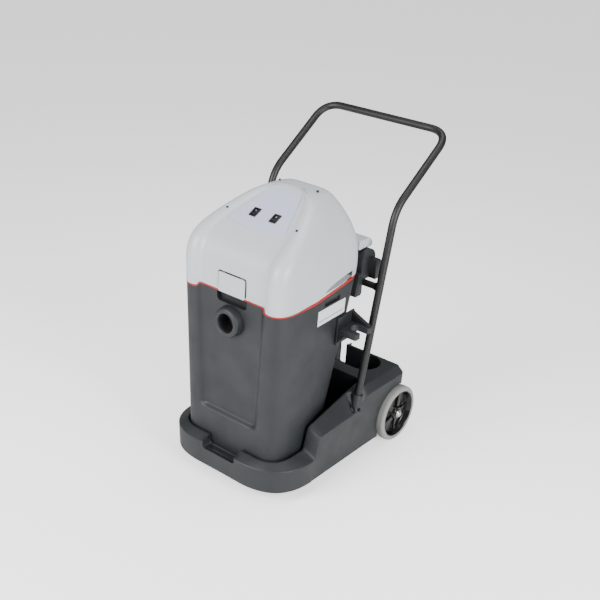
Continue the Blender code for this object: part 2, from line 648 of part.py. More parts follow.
def make_label():
    x, angle = side_plane(LABEL_Y, LABEL_Z)
    lean = math.atan2(TANK_DRAFT, SEAM_Z - FLOOR_TOP)
    place = (Matrix.Translation((x, LABEL_Y, LABEL_Z)) @ Matrix.Rotation(angle, 4, "Z")
             @ Matrix.Rotation(lean, 4, "Y"))
    length, height = 0.5 * LABEL_LENGTH, 0.5 * LABEL_HEIGHT
    plate = box((LABEL_LIFT, -length, -height), (LABEL_LIFT + LABEL_THICK, length, height), 0.0, place)
    add_part("side_label", plate, MATS["plate"])


def make_tool_holder():
    """A fork screwed to the tank's right side; its slot opens outwards."""
    x, angle = side_plane(FORK_NEAR, FORK_Z)
    root = x + 0.004
    far_x, _ = side_plane(FORK_FAR, FORK_Z)
    middle = 0.5 * (FORK_NEAR + FORK_FAR)
    slot = 0.5 * FORK_SLOT
    end = FORK_TIP - 0.030
    arc = [(end - slot * math.cos(a), middle + slot * math.sin(a))
           for a in (math.radians(d) for d in range(60, -61, -20))]
    top = FORK_Z
    plan = [(root, FORK_NEAR), (FORK_TIP - 0.004, FORK_NEAR), (FORK_TIP, FORK_NEAR + 0.005),
            (FORK_TIP, middle - slot), *reversed(arc), (FORK_TIP, middle + slot),
            (FORK_TIP, FORK_FAR - 0.003), (FORK_TIP - 0.004, FORK_FAR), (far_x + 0.004, FORK_FAR)]
    fork = add_part("tool_holder", prism(plan, top - FORK_THICK, top, "z"), MATS["dark"])
    face = (x - 0.0003, FORK_NEAR - 0.002)
    foot = (far_x, FORK_FAR + 0.002)
    lean = TANK_DRAFT / (SEAM_Z - FLOOR_TOP)
    rows = []
    for z in (top - 0.060, top + 0.004):
        shift = lean * (z - top) + 0.0012
        rows.append([(face[0] + shift, face[1], z), (face[0] + shift + 0.007, face[1], z),
                     (foot[0] + shift + 0.007, foot[1], z), (foot[0] + shift, foot[1], z)])
    join(fork, to_mesh(loft(rows, True, True)))
    web = [(root + 0.001, top - 0.055), (root + 0.030, top - FORK_THICK + 0.002), (root + 0.001, top - 0.004)]
    for y in (FORK_NEAR + 0.001, FORK_FAR - 0.006):
        join(fork, prism([(px, pz) for px, pz in web], y, y + 0.005, "y"))


def make_seal():
    ring = [tank_outline(SEAM_Z), inset(tank_outline(SEAM_Z), RING_WIDTH)]
    outer = inset(ring[0], -RING_PROUD)
    rows = []
    for points, drop in ((outer, RING_HEIGHT), (outer, 0.0), (ring[1], 0.0), (ring[1], RING_HEIGHT)):
        rows.append([(p.x, p.y, seam(q.x, q.y) - drop - GAP) for p, q in zip(points, ring[0])])
    add_part("seal_ring", to_mesh(loft(rows, False, False, ring=True)), MATS["red"], 40)


# ---- rear bracket and hinge ---------------------------------------------------------------
def make_bracket():
    """The carrier on the tank's back: it hooks over the cross tube and holds the head's pin."""
    cross_y = upright_y(CROSS_Z)
    over = CROSS_Z + CROSS_RADIUS + 2 * GAP
    leg_back = cross_y - CROSS_RADIUS - RUN
    arc = [(PIN_Y + BARREL_RADIUS * math.cos(a), PIN_Z + BARREL_RADIUS * math.sin(a))
           for a in (math.radians(d) for d in range(0, 181, 15))]
    front = PIN_Y - BARREL_RADIUS
    top = seam(0.0, TANK_REAR) - 0.010
    profile = [(PIN_Y + BARREL_RADIUS, over), *arc, (front, top), (tank_rear(top) + GAP, top),
               (tank_rear(LEG_FOOT + 0.006) + GAP, LEG_FOOT + 0.006),
               (tank_rear(LEG_FOOT) + 0.006, LEG_FOOT), (leg_back - 0.006, LEG_FOOT),
               (leg_back, LEG_FOOT + 0.006), (leg_back, over)]
    bracket = add_part("rear_bracket", prism(profile, -BRACKET_HALF, BRACKET_HALF, "x"), MATS["dark"], 20)
    wing = [(WING_FRONT, over), (PIN_Y + BARREL_RADIUS - 0.001, over),
            (PIN_Y + BARREL_RADIUS - 0.001, WING_TOP - 0.006), (PIN_Y + BARREL_RADIUS - 0.007, WING_TOP),
            (WING_FRONT, WING_TOP)]
    join(bracket, prism(wing, -WING_HALF, WING_HALF, "x"))
    cut(bracket, box((-EAR_X + EAR_WIDTH, front + 0.006, over + 0.006),
                     (EAR_X - EAR_WIDTH, PIN_Y + BARREL_RADIUS + 0.02, PIN_Z + BARREL_RADIUS + 0.02)))
    for side in (1, -1):
        half = 0.5 * EAR_WIDTH + RUN
        cut(bracket, box((side * EAR_X - half, PIN_Y - 0.060, PIN_Z - EAR_RADIUS - RUN),
                         (side * EAR_X + half, PIN_Y + 0.060, PIN_Z + BARREL_RADIUS + 0.02)))
    cut(bracket, cylinder((-WING_HALF - 0.01, PIN_Y, PIN_Z), (WING_HALF + 0.01, PIN_Y, PIN_Z),
                          PIN_RADIUS + GAP, 20))
    add_part("hinge_pin", cylinder((-BRACKET_HALF + 0.002, PIN_Y, PIN_Z), (BRACKET_HALF - 0.002, PIN_Y, PIN_Z),
                                   PIN_RADIUS, 20), MATS["steel"])


def make_hinge_cap():
    """The head's light cap over the bracket, with two ears that turn on the pin."""
    low = PIN_Z + BARREL_RADIUS + RUN
    start = cover_rear(low) + GAP + 0.0012
    end = PIN_Y + BARREL_RADIUS - 0.008
    high = low + CAP_HEIGHT
    profile = [(start, low), (end, low), (end + 0.003, low + 0.004), (end, low + 0.5 * CAP_HEIGHT),
               (end - 0.016, high - 0.004), (end - 0.030, high), (start, high)]
    cap = add_part("hinge_cap", prism(profile, -CAP_HALF, CAP_HALF, "x"), MATS["light"], 30)
    cut(cap, box((-CAP_HALF + 0.004, start + 0.006, low - 0.01), (CAP_HALF - 0.004, end - 0.003, low + 0.012)))
    for side in (1, -1):
        half = 0.5 * EAR_WIDTH
        left, right = side * EAR_X - half, side * EAR_X + half
        ear = [(PIN_Y + EAR_RADIUS * math.cos(a), PIN_Z + EAR_RADIUS * math.sin(a))
               for a in (math.radians(d) for d in range(180, 361, 20))]
        join(cap, prism([*ear, (PIN_Y + EAR_RADIUS, low + 0.016), (PIN_Y - EAR_RADIUS, low + 0.016)],
                        left, right, "x"))
    cut(cap, cylinder((-CAP_HALF, PIN_Y, PIN_Z), (CAP_HALF, PIN_Y, PIN_Z), PIN_RADIUS + GAP, 20))


# ---- motor head ---------------------------------------------------------------------------
def panel_y(z):
    """Where the sunk front panel lies at a height: upright below, then up the control slope."""
    keys = [(0.647, -0.354), (0.735, -0.354), (0.770, -0.3475), (0.796, -0.333), (0.818, -0.308)]
    slope_start = 0.838
    if z >= slope_start:
        return PANEL_Y + (z - PANEL_Z) / math.tan(PANEL_SLOPE)
    keys.append((slope_start, PANEL_Y + (slope_start - PANEL_Z) / math.tan(PANEL_SLOPE)))
    for (z0, y0), (z1, y1) in zip(keys, keys[1:]):
        if z <= z1:
            return y0 + (y1 - y0) * (z - z0) / (z1 - z0)
    return keys[-1][1]


# height, half width, half width at the rear, rear face, panel half width
HEAD_LEVELS = [
    (0.735, 0.207, 0.196, 0.040, 0.131), (0.770, 0.205, 0.193, 0.041, 0.132),
    (0.796, 0.200, 0.188, 0.041, 0.132), (0.818, 0.192, 0.180, 0.038, 0.130),
    (0.838, 0.182, 0.170, 0.035, 0.126), (0.856, 0.171, 0.158, 0.031, 0.119),
    (0.876, 0.156, 0.142, 0.026, 0.107), (0.896, 0.138, 0.124, 0.018, 0.094),
    (0.914, 0.116, 0.104, 0.008, 0.081), (0.929, 0.092, 0.082, -0.005, 0.068),
    (0.940, 0.060, 0.052, -0.020, 0.045),
]


def head_outline(z, depth=PANEL_DEPTH):
    levels = [(SEAM_Z, TANK_HALF, TANK_HALF_REAR, TANK_REAR + 0.004, PANEL_HALF), *HEAD_LEVELS]
    for low, high in zip(levels, levels[1:]):
        if z <= high[0]:
            break
    t = max(0.0, min(1.0, (z - low[0]) / (high[0] - low[0])))
    half, half_rear, rear, panel = (a + (b - a) * t for a, b in zip(low[1:], high[1:]))
    depth *= min(1.0, (half - 0.04) / 0.06)
    front = panel_y(z) - depth
    soft = front + SOFT_SHARE * (rear - front)
    return shell_outline(half, front, soft, half_rear, rear, panel, depth)


def cover_rear(z):
    return max(p.y for p in head_outline(z))


def make_cover():
    rows = [[(p.x, p.y, seam(p.x, p.y) + GAP) for p in head_outline(SEAM_Z)]]
    rows.append(at(head_outline(0.700), 0.700))
    rows += [at(head_outline(level[0]), level[0]) for level in HEAD_LEVELS]
    cover = add_part("head_cover", sheet(loft(rows, False, True)), MATS["light"], 25)
    solidify(cover, COVER_WALL)
    for x in (SWITCH_X, -SWITCH_X):
        cut(cover, box((x - 0.5 * SWITCH_WIDTH - GAP, -0.5 * SWITCH_LENGTH - GAP, -0.03),
                       (x + 0.5 * SWITCH_WIDTH + GAP, 0.5 * SWITCH_LENGTH + GAP, 0.03), 0.0, panel_place()))
    front = panel_y(FLAP_PIN_Z)
    cut(cover, box((-FLAP_HALF - 0.0015, front - 0.03, FLAP_PIN_Z - 0.006),
                   (FLAP_HALF + 0.0015, front + 0.02, FLAP_TOP + FLAP_SWING)))
    cut(cover, cylinder((GLAND_X, 0.0, GLAND_Z), (GLAND_X, 0.08, GLAND_Z), GLAND_RADIUS - 0.003 + GAP, 20))
    for name, x, y, z, direction in cover_screws():
        start = Vector((x, y, z))
        cut(cover, cylinder(start - direction * 0.012, start + direction * 0.010,
                            SCREW_RADIUS + GAP, 16))
    return cover


def inside(points, x, y):
    """True when a place lies inside an outline."""
    crossings = 0
    for a, b in zip(points, points[1:] + points[:1]):
        if (a.y > y) != (b.y > y) and x < a.x + (b.x - a.x) * (y - a.y) / (b.y - a.y):
            crossings += 1
    return crossings % 2 == 1


def dome_height(x, y):
    """The height of the cover's outer surface over a place on its plan."""
    low, high = DECK_Z, HEAD_LEVELS[-1][0]
    for _ in range(24):
        middle = 0.5 * (low + high)
        if inside(head_outline(middle), x, y):
            low = middle
        else:
            high = middle
    return low


def cover_screws():
    """Name, place and outward direction of the four screws that hold the cover."""
    screws = []
    for end, x, y in (("front", *FRONT_SCREW), ("rear", *REAR_SCREW)):
        for side, name in ((1, "right"), (-1, "left")):
            z = dome_height(x, y)
            rise_x = (dome_height(x + 0.004, y) - dome_height(x - 0.004, y)) / 0.008
            rise_y = (dome_height(x, y + 0.004) - dome_height(x, y - 0.004)) / 0.008
            outwards = Vector((-side * rise_x, -rise_y, 1.0)).normalized()
            screws.append((f"{end}_{name}", side * x, y, z, outwards))
    return screws


def panel_place():
    """The control slope's placement: its Z stands off the slope, its Y runs up it."""
    return Matrix.Translation((0, PANEL_Y, PANEL_Z)) @ Matrix.Rotation(PANEL_SLOPE, 4, "X")


def make_controls():
    place = panel_place()
    lift = 2 * GAP
    plan = [(PLATE_HALF_LOW - 0.020, PLATE_LOW - 0.006), (PLATE_HALF_LOW, PLATE_LOW),
            (PLATE_HALF_HIGH, PLATE_HIGH)]
    plan += [(-x, y) for x, y in reversed(plan)]
    plate_mesh = prism(plan, lift, lift + PLATE_THICK, "z")
    plate_mesh.transform(place)
    plate = add_part("control_panel", plate_mesh, MATS["plate"])
    for side, name in ((1, "right"), (-1, "left")):
        x = side * SWITCH_X
        half_w, half_l = 0.5 * SWITCH_WIDTH, 0.5 * SWITCH_LENGTH
        cut(plate, box((x - half_w - GAP, -half_l - GAP, -0.03), (x + half_w + GAP, half_l + GAP, 0.03),
                       0.0, place))
        base = lift + PLATE_THICK + GAP
        bezel = add_part(f"switch_bezel_{name}", box(
            (x - half_w - BEZEL_RIM, -half_l - BEZEL_RIM, base),
            (x + half_w + BEZEL_RIM, half_l + BEZEL_RIM, base + BEZEL_THICK), 0.0, place), MATS["black"])
        join(bezel, box((x - half_w, -half_l, base - SWITCH_DEPTH), (x + half_w, half_l, base + 0.001),
                        0.0, place))
        axis = base + BEZEL_THICK - 0.003
        well = 0.5 * ROCKER_WIDTH + GAP
        hollow = cylinder((x - well, 0, axis), (x + well, 0, axis), ROCKER_RADIUS + 0.0006, 32)
        hollow.transform(place)
        cut(bezel, hollow)
        cut(bezel, box((x - well, -ROCKER_RADIUS - 0.0006, axis), (x + well, ROCKER_RADIUS + 0.0006, base + 0.02),
                       0.0, place))
        arc = [(ROCKER_RADIUS * math.cos(a), ROCKER_RADIUS * math.sin(a))
               for a in (math.radians(d) for d in range(180, 361, 15))]
        profile = [*arc, (ROCKER_RADIUS - 0.0006, 0.0042), (0.0, 0.0026), (-ROCKER_RADIUS + 0.0006, 0.0042)]
        rocker = prism(profile, -0.5 * ROCKER_WIDTH, 0.5 * ROCKER_WIDTH, "x")
        rocker.transform(Matrix.Rotation(-ROCKER_TILT, 4, "X"))
        obj = add_part(f"switch_rocker_{name}", rocker, MATS["black"])
        obj.matrix_world = place @ Matrix.Translation((x, 0, axis))


def make_latch():
    """The front flap: a plate on a pin in the cover's slot, with a lip over the seam."""
    face = panel_y(FLAP_PIN_Z)
    flap = add_part("front_latch", box((-FLAP_HALF, face - GAP - FLAP_THICK, FLAP_LOW),
                                       (FLAP_HALF, face - GAP - 0.0006, FLAP_TOP), 0.0008), MATS["light"])
    pin_y = face + 0.5 * COVER_WALL
    for side in (1, -1):
        join(flap, box((side * 0.037 - 0.007, face - 0.002, FLAP_PIN_Z - 0.0035),
                       (side * 0.037 + 0.007, pin_y + 0.0028, FLAP_PIN_Z + 0.0028)))
    cut(flap, cylinder((-0.06, pin_y, FLAP_PIN_Z), (0.06, pin_y, FLAP_PIN_Z), FLAP_PIN_RADIUS + GAP, 16))
    reach = FLAP_HALF + 0.0015 - GAP
    add_part("latch_pin", cylinder((-reach, pin_y, FLAP_PIN_Z), (reach, pin_y, FLAP_PIN_Z),
                                   FLAP_PIN_RADIUS, 16), MATS["steel"])


def make_deck():
    """The plate that closes the head's underside and carries the motors and the float cage."""
    low = inset(head_outline(DECK_Z), COVER_WALL + 2 * GAP)
    rows = [at(low, DECK_Z), at(low, DECK_Z + DECK_THICK)]
    deck = add_part("motor_deck", to_mesh(loft(rows, True, True)), MATS["dark"])
    cut(deck, cylinder((0, CAGE_Y, DECK_Z - 0.01), (0, CAGE_Y, DECK_Z + DECK_THICK + 0.01), AIR_HOLE, 24))
    seat = DECK_Z + DECK_THICK + GAP
    for side, name in ((1, "right"), (-1, "left")):
        x = side * MOTOR_X
        place = Matrix.Translation((x, MOTOR_Y, seat))
        inner = MOTOR_RADIUS - 0.012
        ring = [(MOTOR_RADIUS, 0.0), (MOTOR_RADIUS, MOTOR_SEAL), (inner, MOTOR_SEAL), (inner, 0.0)]
        add_part(f"motor_seal_{name}", turned(ring, place, 24), MATS["black"])
        low_z = MOTOR_SEAL + GAP
        can = [(0.012, low_z), (MOTOR_RADIUS, low_z), (MOTOR_RADIUS, low_z + 0.040),
               (MOTOR_RADIUS - 0.016, low_z + 0.046), (MOTOR_RADIUS - 0.016, MOTOR_HEIGHT - 0.012),
               (0.030, MOTOR_HEIGHT), (0.012, MOTOR_HEIGHT)]
        add_part(f"motor_{name}", turned(can, place, 24), MATS["steel"])


def make_float():
    """The float cage under the deck and the ball that shuts the air off when the tank is full."""
    top = DECK_Z - GAP
    low = top - CAGE_HEIGHT
    place = Matrix.Translation((0, CAGE_Y, 0))
    inner = CAGE_RADIUS - CAGE_WALL
    cup = [(CAGE_RADIUS, low), (CAGE_RADIUS, top), (inner, top), (inner, low + CAGE_WALL),
           (DRAIN_HOLE, low + CAGE_WALL), (DRAIN_HOLE, low)]
    cage = add_part("float_cage", turned(cup, place, 24), MATS["dark"])
    for i in range(3):
        turn = Matrix.Translation((0, CAGE_Y, 0)) @ Matrix.Rotation(math.radians(60 * i), 4, "Z")
        cut(cage, box((-CAGE_RADIUS - 0.01, -0.013, low + 0.020), (CAGE_RADIUS + 0.01, 0.013, top - 0.020),
                      0.0, turn))
    bm = bmesh.new()
    bmesh.ops.create_uvsphere(bm, u_segments=16, v_segments=10, radius=BALL_RADIUS)
    ball = add_part("float_ball", to_mesh(bm), MATS["tyre"], 60)
    seat = math.sqrt(BALL_RADIUS ** 2 - DRAIN_HOLE ** 2)
    ball.location = (0, CAGE_Y, low + CAGE_WALL + seat + GAP)


def make_fasteners():
    for name, x, y, z, direction in cover_screws():
        start = Vector((x, y, z))
        add_part(f"cover_screw_{name}", cylinder(start - direction * 0.010, start + direction * 0.0006,
                                                 SCREW_RADIUS, 16), MATS["black"])


def make_gland():
    rear = cover_rear(GLAND_Z)
    place = along((0, 1, 0), (GLAND_X, rear - 0.008, GLAND_Z))
    bore, neck = 0.0045, GLAND_RADIUS - 0.003
    profile = [(bore, 0.0), (neck, 0.0), (neck, 0.008 + 2 * GAP), (GLAND_RADIUS, 0.008 + 2 * GAP),
               (GLAND_RADIUS, 0.012), (neck - 0.001, 0.026), (bore, 0.026)]
    add_part("cable_gland", turned(profile, place, 20), MATS["black"])


clear_scene()
PARTS = bpy.data.collections.new("wet_dry_vacuum")
CUTTERS = bpy.data.collections.new("cutters")
bpy.context.scene.collection.children.link(PARTS)
bpy.context.scene.collection.children.link(CUTTERS)
MATS = {
    "dark": material("dark_grey_moulding", DARK, 0.55),
    "light": material("light_grey_moulding", LIGHT, 0.35),
    "plate": material("control_plate", PLATE, 0.30),
    "red": material("red_rubber", RED, 0.45),
    "black": material("black_plastic", BLACK, 0.40),
    "black_gloss": material("black_paint", BLACK, 0.12),
    "tyre": material("grey_rubber", TYRE, 0.60),
    "steel": material("bright_steel", STEEL, 0.30, 1.0),
}

make_base()
make_handle()
make_wheels()
make_casters()
make_tank()
make_inlet()
make_label()
make_tool_holder()
make_seal()
make_bracket()
make_hinge_cap()
make_cover()
make_controls()
make_latch()
make_deck()
make_float()
make_fasteners()
make_gland()
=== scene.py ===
# %% [markdown]
# # A wet-and-dry cleaning vacuum on a trolley
# The machine has a tapered plastic tank, a light grey motor head hinged at the back, and a
# trolley with a bent steel push handle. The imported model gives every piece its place, and this
# lesson builds the finished surfaces around it, one piece and one finish at a time.

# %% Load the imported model
import math

import bmesh
import bpy
from mathutils import Matrix, Vector


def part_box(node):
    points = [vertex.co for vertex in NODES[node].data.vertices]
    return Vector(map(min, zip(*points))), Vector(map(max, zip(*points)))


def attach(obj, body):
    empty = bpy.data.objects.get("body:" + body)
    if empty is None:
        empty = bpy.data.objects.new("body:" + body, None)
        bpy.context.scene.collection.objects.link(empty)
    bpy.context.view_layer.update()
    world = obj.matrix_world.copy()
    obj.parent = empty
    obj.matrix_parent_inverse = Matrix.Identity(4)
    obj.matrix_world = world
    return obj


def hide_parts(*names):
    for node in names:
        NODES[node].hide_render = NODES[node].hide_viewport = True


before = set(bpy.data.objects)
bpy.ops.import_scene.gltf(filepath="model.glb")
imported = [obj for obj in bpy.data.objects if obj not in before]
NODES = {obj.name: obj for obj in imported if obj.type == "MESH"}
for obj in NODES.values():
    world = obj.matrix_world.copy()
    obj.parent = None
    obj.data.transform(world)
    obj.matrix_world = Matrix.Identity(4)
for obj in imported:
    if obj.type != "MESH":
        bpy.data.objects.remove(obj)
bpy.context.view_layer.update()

# %% [markdown]
# Colours are written as sRGB hex, the way a paint chart gives them. The shader works in linear
# light, so one function converts them.

# %% Colour and node helpers
def linear(hex_code):
    values = [int(hex_code[i:i + 2], 16) / 255 for i in (1, 3, 5)]
    return (*(v / 12.92 if v <= 0.04045 else ((v + 0.055) / 1.055) ** 2.4 for v in values), 1.0)


def add_node(tree, kind, settings=None, links=None):
    """Adds one shader node, sets its inputs or properties, and joins outputs to its inputs."""
    made = tree.nodes.new(kind)
    for key, value in (settings or {}).items():
        if isinstance(key, int) or key in made.inputs:
            made.inputs[key].default_value = value
        else:
            setattr(made, key, value)
    for key, output in (links or {}).items():
        tree.links.new(output, made.inputs[key])
    return made


def per_metre(size_mm):
    """Noise scale for features of a size in millimetres."""
    return 1000.0 / size_mm


# %% [markdown]
# Most of the machine is injection-moulded plastic. The mould's surface is spark-eroded, which
# leaves a fine leathery grain of about half a millimetre. It is drawn 1.4 mm wide here, because
# the real grain would vanish at this size. A slow mottle stands for uneven gloss
# from cooling, and a faint dust tone sits in it.

# %% Moulded plastic
def new_finish(name):
    """A material's tree and shader, and texture coordinates that are fixed to the piece."""
    material = bpy.data.materials.new(name)
    material.use_nodes = True
    tree = material.node_tree
    place = add_node(tree, "ShaderNodeTexCoord").outputs["Object"]
    return material, tree, tree.nodes["Principled BSDF"], place


def blend_colours(tree, shader, colour, shade, share):
    tint = add_node(tree, "ShaderNodeMix", {"data_type": "RGBA", 6: linear(colour), 7: linear(shade)},
                    {0: share})
    tree.links.new(tint.outputs[2], shader.inputs["Base Color"])


def moulded(name, colour, shade, roughness, ior, grain_mm, relief_mm, gloss_range=0.08):
    material, tree, shader, place = new_finish(name)
    shader.inputs["IOR"].default_value = ior
    broad = add_node(tree, "ShaderNodeTexNoise", {"Scale": per_metre(90), "Detail": 3.0}, {"Vector": place})
    fine = add_node(tree, "ShaderNodeTexNoise", {"Scale": per_metre(grain_mm), "Detail": 2.0},
                    {"Vector": place})
    blend_colours(tree, shader, colour, shade, broad.outputs["Fac"])
    gloss = add_node(tree, "ShaderNodeMapRange", {
        "From Min": 0.3, "From Max": 0.7,
        "To Min": roughness - gloss_range, "To Max": roughness + gloss_range,
    }, {"Value": broad.outputs["Fac"]})
    bump = add_node(tree, "ShaderNodeBump", {"Strength": 0.35, "Distance": relief_mm / 1000},
                    {"Height": fine.outputs["Fac"]})
    tree.links.new(gloss.outputs[0], shader.inputs["Roughness"])
    tree.links.new(bump.outputs["Normal"], shader.inputs["Normal"])
    return material


POLYPROPYLENE_DARK = moulded("polypropylene_dark_grey", "#202326", "#1C1F22", 0.52, 1.49, 1.4, 0.10)
ABS_LIGHT = moulded("abs_light_grey", "#BFC3C8", "#B9BDC3", 0.34, 1.53, 1.2, 0.04, 0.04)
ABS_DARK_GREY = moulded("abs_mid_grey", "#7C8184", "#75797C", 0.45, 1.53, 1.2, 0.05)
PLATE_SATIN = moulded("polycarbonate_plate", "#BFC2DA", "#BABDD6", 0.30, 1.58, 0.8, 0.02, 0.04)
NYLON_BLACK = moulded("nylon_black", "#0C0C0D", "#090909", 0.38, 1.53, 0.8, 0.04)
RIM_GLOSS = moulded("polypropylene_black_gloss", "#060607", "#090909", 0.20, 1.49, 2.5, 0.02, 0.05)
print("plastics", len(bpy.data.materials))

# %% [markdown]
# Rubber is softer and duller: the tyres are a light grey, non-marking grade with a little chalky
# bloom, and the seal between tank and head is a red rubber profile.

# %% Rubber
TYRE_GREY = moulded("rubber_grey_nonmarking", "#8F8F8C", "#848481", 0.62, 1.52, 2.2, 0.12)
SEAL_RED = moulded("rubber_red_seal", "#A80602", "#9E0502", 0.50, 1.52, 1.6, 0.04)
RUBBER_BLACK = moulded("rubber_black_soft", "#0C0C0C", "#090909", 0.66, 1.52, 1.6, 0.08)
VINYL_WHITE = moulded("vinyl_label_white", "#E6E7E9", "#DFE0E3", 0.30, 1.54, 1.0, 0.02)
BALL_WHITE = moulded("polyethylene_white_float", "#D8D8D2", "#CFCFC8", 0.45, 1.51, 1.6, 0.03)

# %% [markdown]
# The handle is steel tube with stoved black enamel. It is a satin grade, and it flows out before
# it is baked, which leaves a faint orange peel a few millimetres across.

# %% Enamelled tube
ENAMEL_BLACK = moulded("enamel_black_on_steel", "#040405", "#030304", 0.48, 1.55, 5.0, 0.05, 0.05)

# %% [markdown]
# Zinc-plated steel and pressed aluminium are metals, so they are fully metallic and keep the
# default IOR. Rolling and pressing leave small differences in brightness and gloss.

# %% Metals
def metal(name, colour, shade, roughness, streak_mm):
    material, tree, shader, place = new_finish(name)
    shader.inputs["Metallic"].default_value = 1.0
    streak = add_node(tree, "ShaderNodeTexNoise", {"Scale": per_metre(streak_mm), "Detail": 4.0},
                      {"Vector": place})
    blend_colours(tree, shader, colour, shade, streak.outputs["Fac"])
    gloss = add_node(tree, "ShaderNodeMapRange", {"To Min": roughness * 0.7, "To Max": roughness * 1.3},
                     {"Value": streak.outputs["Fac"]})
    tree.links.new(gloss.outputs[0], shader.inputs["Roughness"])
    return material


ZINC_STEEL = metal("zinc_plated_steel", "#D6D5CF", "#C2C1BB", 0.26, 6)
PRESSED_ALUMINIUM = metal("aluminium_pressed", "#C9CACB", "#B9BABB", 0.38, 9)
BLACK_STEEL = metal("black_oxide_steel", "#2B2B2C", "#222223", 0.34, 5)

# %% [markdown]
# ## Building surfaces from rows
# Mouldings are built as a shell maker lays up plies: a plan outline at each height, faces
# between the rows, then a wall thickness. Rounded corners come from a curve that leaves one
# side and joins the next.

# %% Outline helpers
def corner(before, point, after, reach, steps):
    """A rounded corner; reach is one length, or a pair for the side before and the side after."""
    reach_in, reach_out = reach if isinstance(reach, tuple) else (reach, reach)
    point = Vector(point)
    start = point + (Vector(before) - point).normalized() * reach_in
    end = point + (Vector(after) - point).normalized() * reach_out
    points = []
    for i in range(steps + 1):
        t = i / steps
        points.append((1 - t) ** 2 * start + 2 * t * (1 - t) * point + t ** 2 * end)
    return points


def spread(start, end, count):
    return [start + (end - start) * i / count for i in range(count)]


def circle(count):
    """Angles at even steps round a full circle."""
    return [2 * math.pi * k / count for k in range(count)]


def arc(centre_a, centre_b, radius, start, end, steps=6):
    """Points on a round stretch between two angles in degrees."""
    angles = [math.radians(start + (end - start) * i / steps) for i in range(steps + 1)]
    return [(centre_a + radius * math.cos(a), centre_b + radius * math.sin(a)) for a in angles]


def mirrored(point, side):
    return Vector((side * point[0], point[1], point[2]))


def outline(right_side):
    """A closed plan from the corners of its +X half, each (x, y, reach, steps)."""
    corners = [Vector((x, y)) for x, y, _, _ in right_side]
    chain = [Vector((-corners[0].x, corners[0].y)), *corners, Vector((-corners[-1].x, corners[-1].y))]
    right = []
    for i, (_, _, reach, steps) in enumerate(right_side):
        right += corner(chain[i], chain[i + 1], chain[i + 2], reach, steps)
    return right + [Vector((-p.x, p.y)) for p in reversed(right)]


def whole_plan(half_plan):
    """A closed plan from one half that starts and ends on the middle line."""
    return half_plan + [Vector((-p.x, p.y)) for p in reversed(half_plan[1:-1])]


def inset(points, distance):
    moved = []
    for i, point in enumerate(points):
        side = (points[(i + 1) % len(points)] - points[i - 1]).normalized()
        moved.append(point + Vector((-side.y, side.x)) * distance)
    return moved


def round_chain(points, reaches, steps):
    """The same chain of points with its inner corners rounded."""
    points = [Vector(p) for p in points]
    chain = [points[0]]
    for i, reach in enumerate(reaches, 1):
        shorter = min((points[i] - points[i - 1]).length, (points[i + 1] - points[i]).length)
        chain += corner(points[i - 1], points[i], points[i + 1], min(reach, 0.45 * shorter), steps)
    return chain + [points[-1]]


# %% [markdown]
# Rows become a mesh in one function. Faces already point outwards when the plan runs
# anticlockwise and the rows climb, so only closed solids need their normals worked out.

# %% Mesh helpers
def loft(rows, cap_first, cap_last, ring=False):
    bm = bmesh.new()
    grid = [[bm.verts.new(point) for point in row] for row in rows]
    count = len(grid[0])
    pairs = list(zip(grid, grid[1:])) + ([(grid[-1], grid[0])] if ring else [])
    for lower, upper in pairs:
        for i in range(count):
            j = (i + 1) % count
            bm.faces.new((lower[i], lower[j], upper[j], upper[i]))
    if cap_first:
        bm.faces.new(list(reversed(grid[0])))
    if cap_last:
        bm.faces.new(grid[-1])
    return bm


def to_mesh(bm, matrix=None, closed=True):
    if matrix is not None:
        bm.transform(matrix)
    if closed:
        bmesh.ops.recalc_face_normals(bm, faces=bm.faces)
        if bm.calc_volume(signed=True) < 0:
            bmesh.ops.reverse_faces(bm, faces=bm.faces)
    mesh = bpy.data.meshes.new("mesh")
    bm.to_mesh(mesh)
    bm.free()
    return mesh


def box(low, high, bevel=0.0, matrix=None, segments=3):
    low, high = Vector(map(min, low, high)), Vector(map(max, low, high))
    bm = bmesh.new()
    bmesh.ops.create_cube(bm, size=1.0)
    bm.transform(Matrix.Translation((low + high) / 2) @ Matrix.Diagonal((*(high - low), 1.0)))
    if bevel:
        bmesh.ops.bevel(bm, geom=bm.edges[:], offset=bevel, segments=segments, affect="EDGES",
                        profile=0.5)
    return to_mesh(bm, matrix)


def across(half_width, low, high, *shape, **options):
    """A box that reaches equally far to both sides, between two (y, z) corners."""
    return box((-half_width, *low), (half_width, *high), *shape, **options)


def cylinder(start, end, radius, segments=48):
    start, end = Vector(start), Vector(end)
    axis = end - start
    bm = bmesh.new()
    bmesh.ops.create_cone(bm, cap_ends=True, segments=segments, radius1=radius, radius2=radius,
                          depth=axis.length)
    turn = Vector((0, 0, 1)).rotation_difference(axis.normalized()).to_matrix().to_4x4()
    return to_mesh(bm, Matrix.Translation((start + end) / 2) @ turn)


def prism(points, low, high, axis="x", matrix=None):
    place = {
        "x": lambda p, d: (d, p[0], p[1]),
        "y": lambda p, d: (p[0], d, p[1]),
        "z": lambda p, d: (p[0], p[1], d),
    }[axis]
    return to_mesh(loft([[place(p, d) for p in points] for d in (low, high)], True, True), matrix)


def turned(profile, matrix, steps=64):
    """A closed (radius, height) profile turned about Z, then placed."""
    rows = [[(r * math.cos(a), r * math.sin(a), h) for r, h in profile] for a in circle(steps)]
    return to_mesh(loft(rows, False, False, ring=True), matrix)


def along(axis, point):
    turn = Vector((0, 0, 1)).rotation_difference(Vector(axis).normalized())
    return Matrix.Translation(point) @ turn.to_matrix().to_4x4()


# %% [markdown]
# Booleans are applied at once: a cutter is a helper and never part of the model. Each finished
# piece then gets its material, the body that it rides on, and the CAD nodes that it stands for.

# %% Piece helpers
def new_object(name, mesh):
    made = bpy.data.objects.new(name, mesh)
    bpy.context.scene.collection.objects.link(made)
    return made


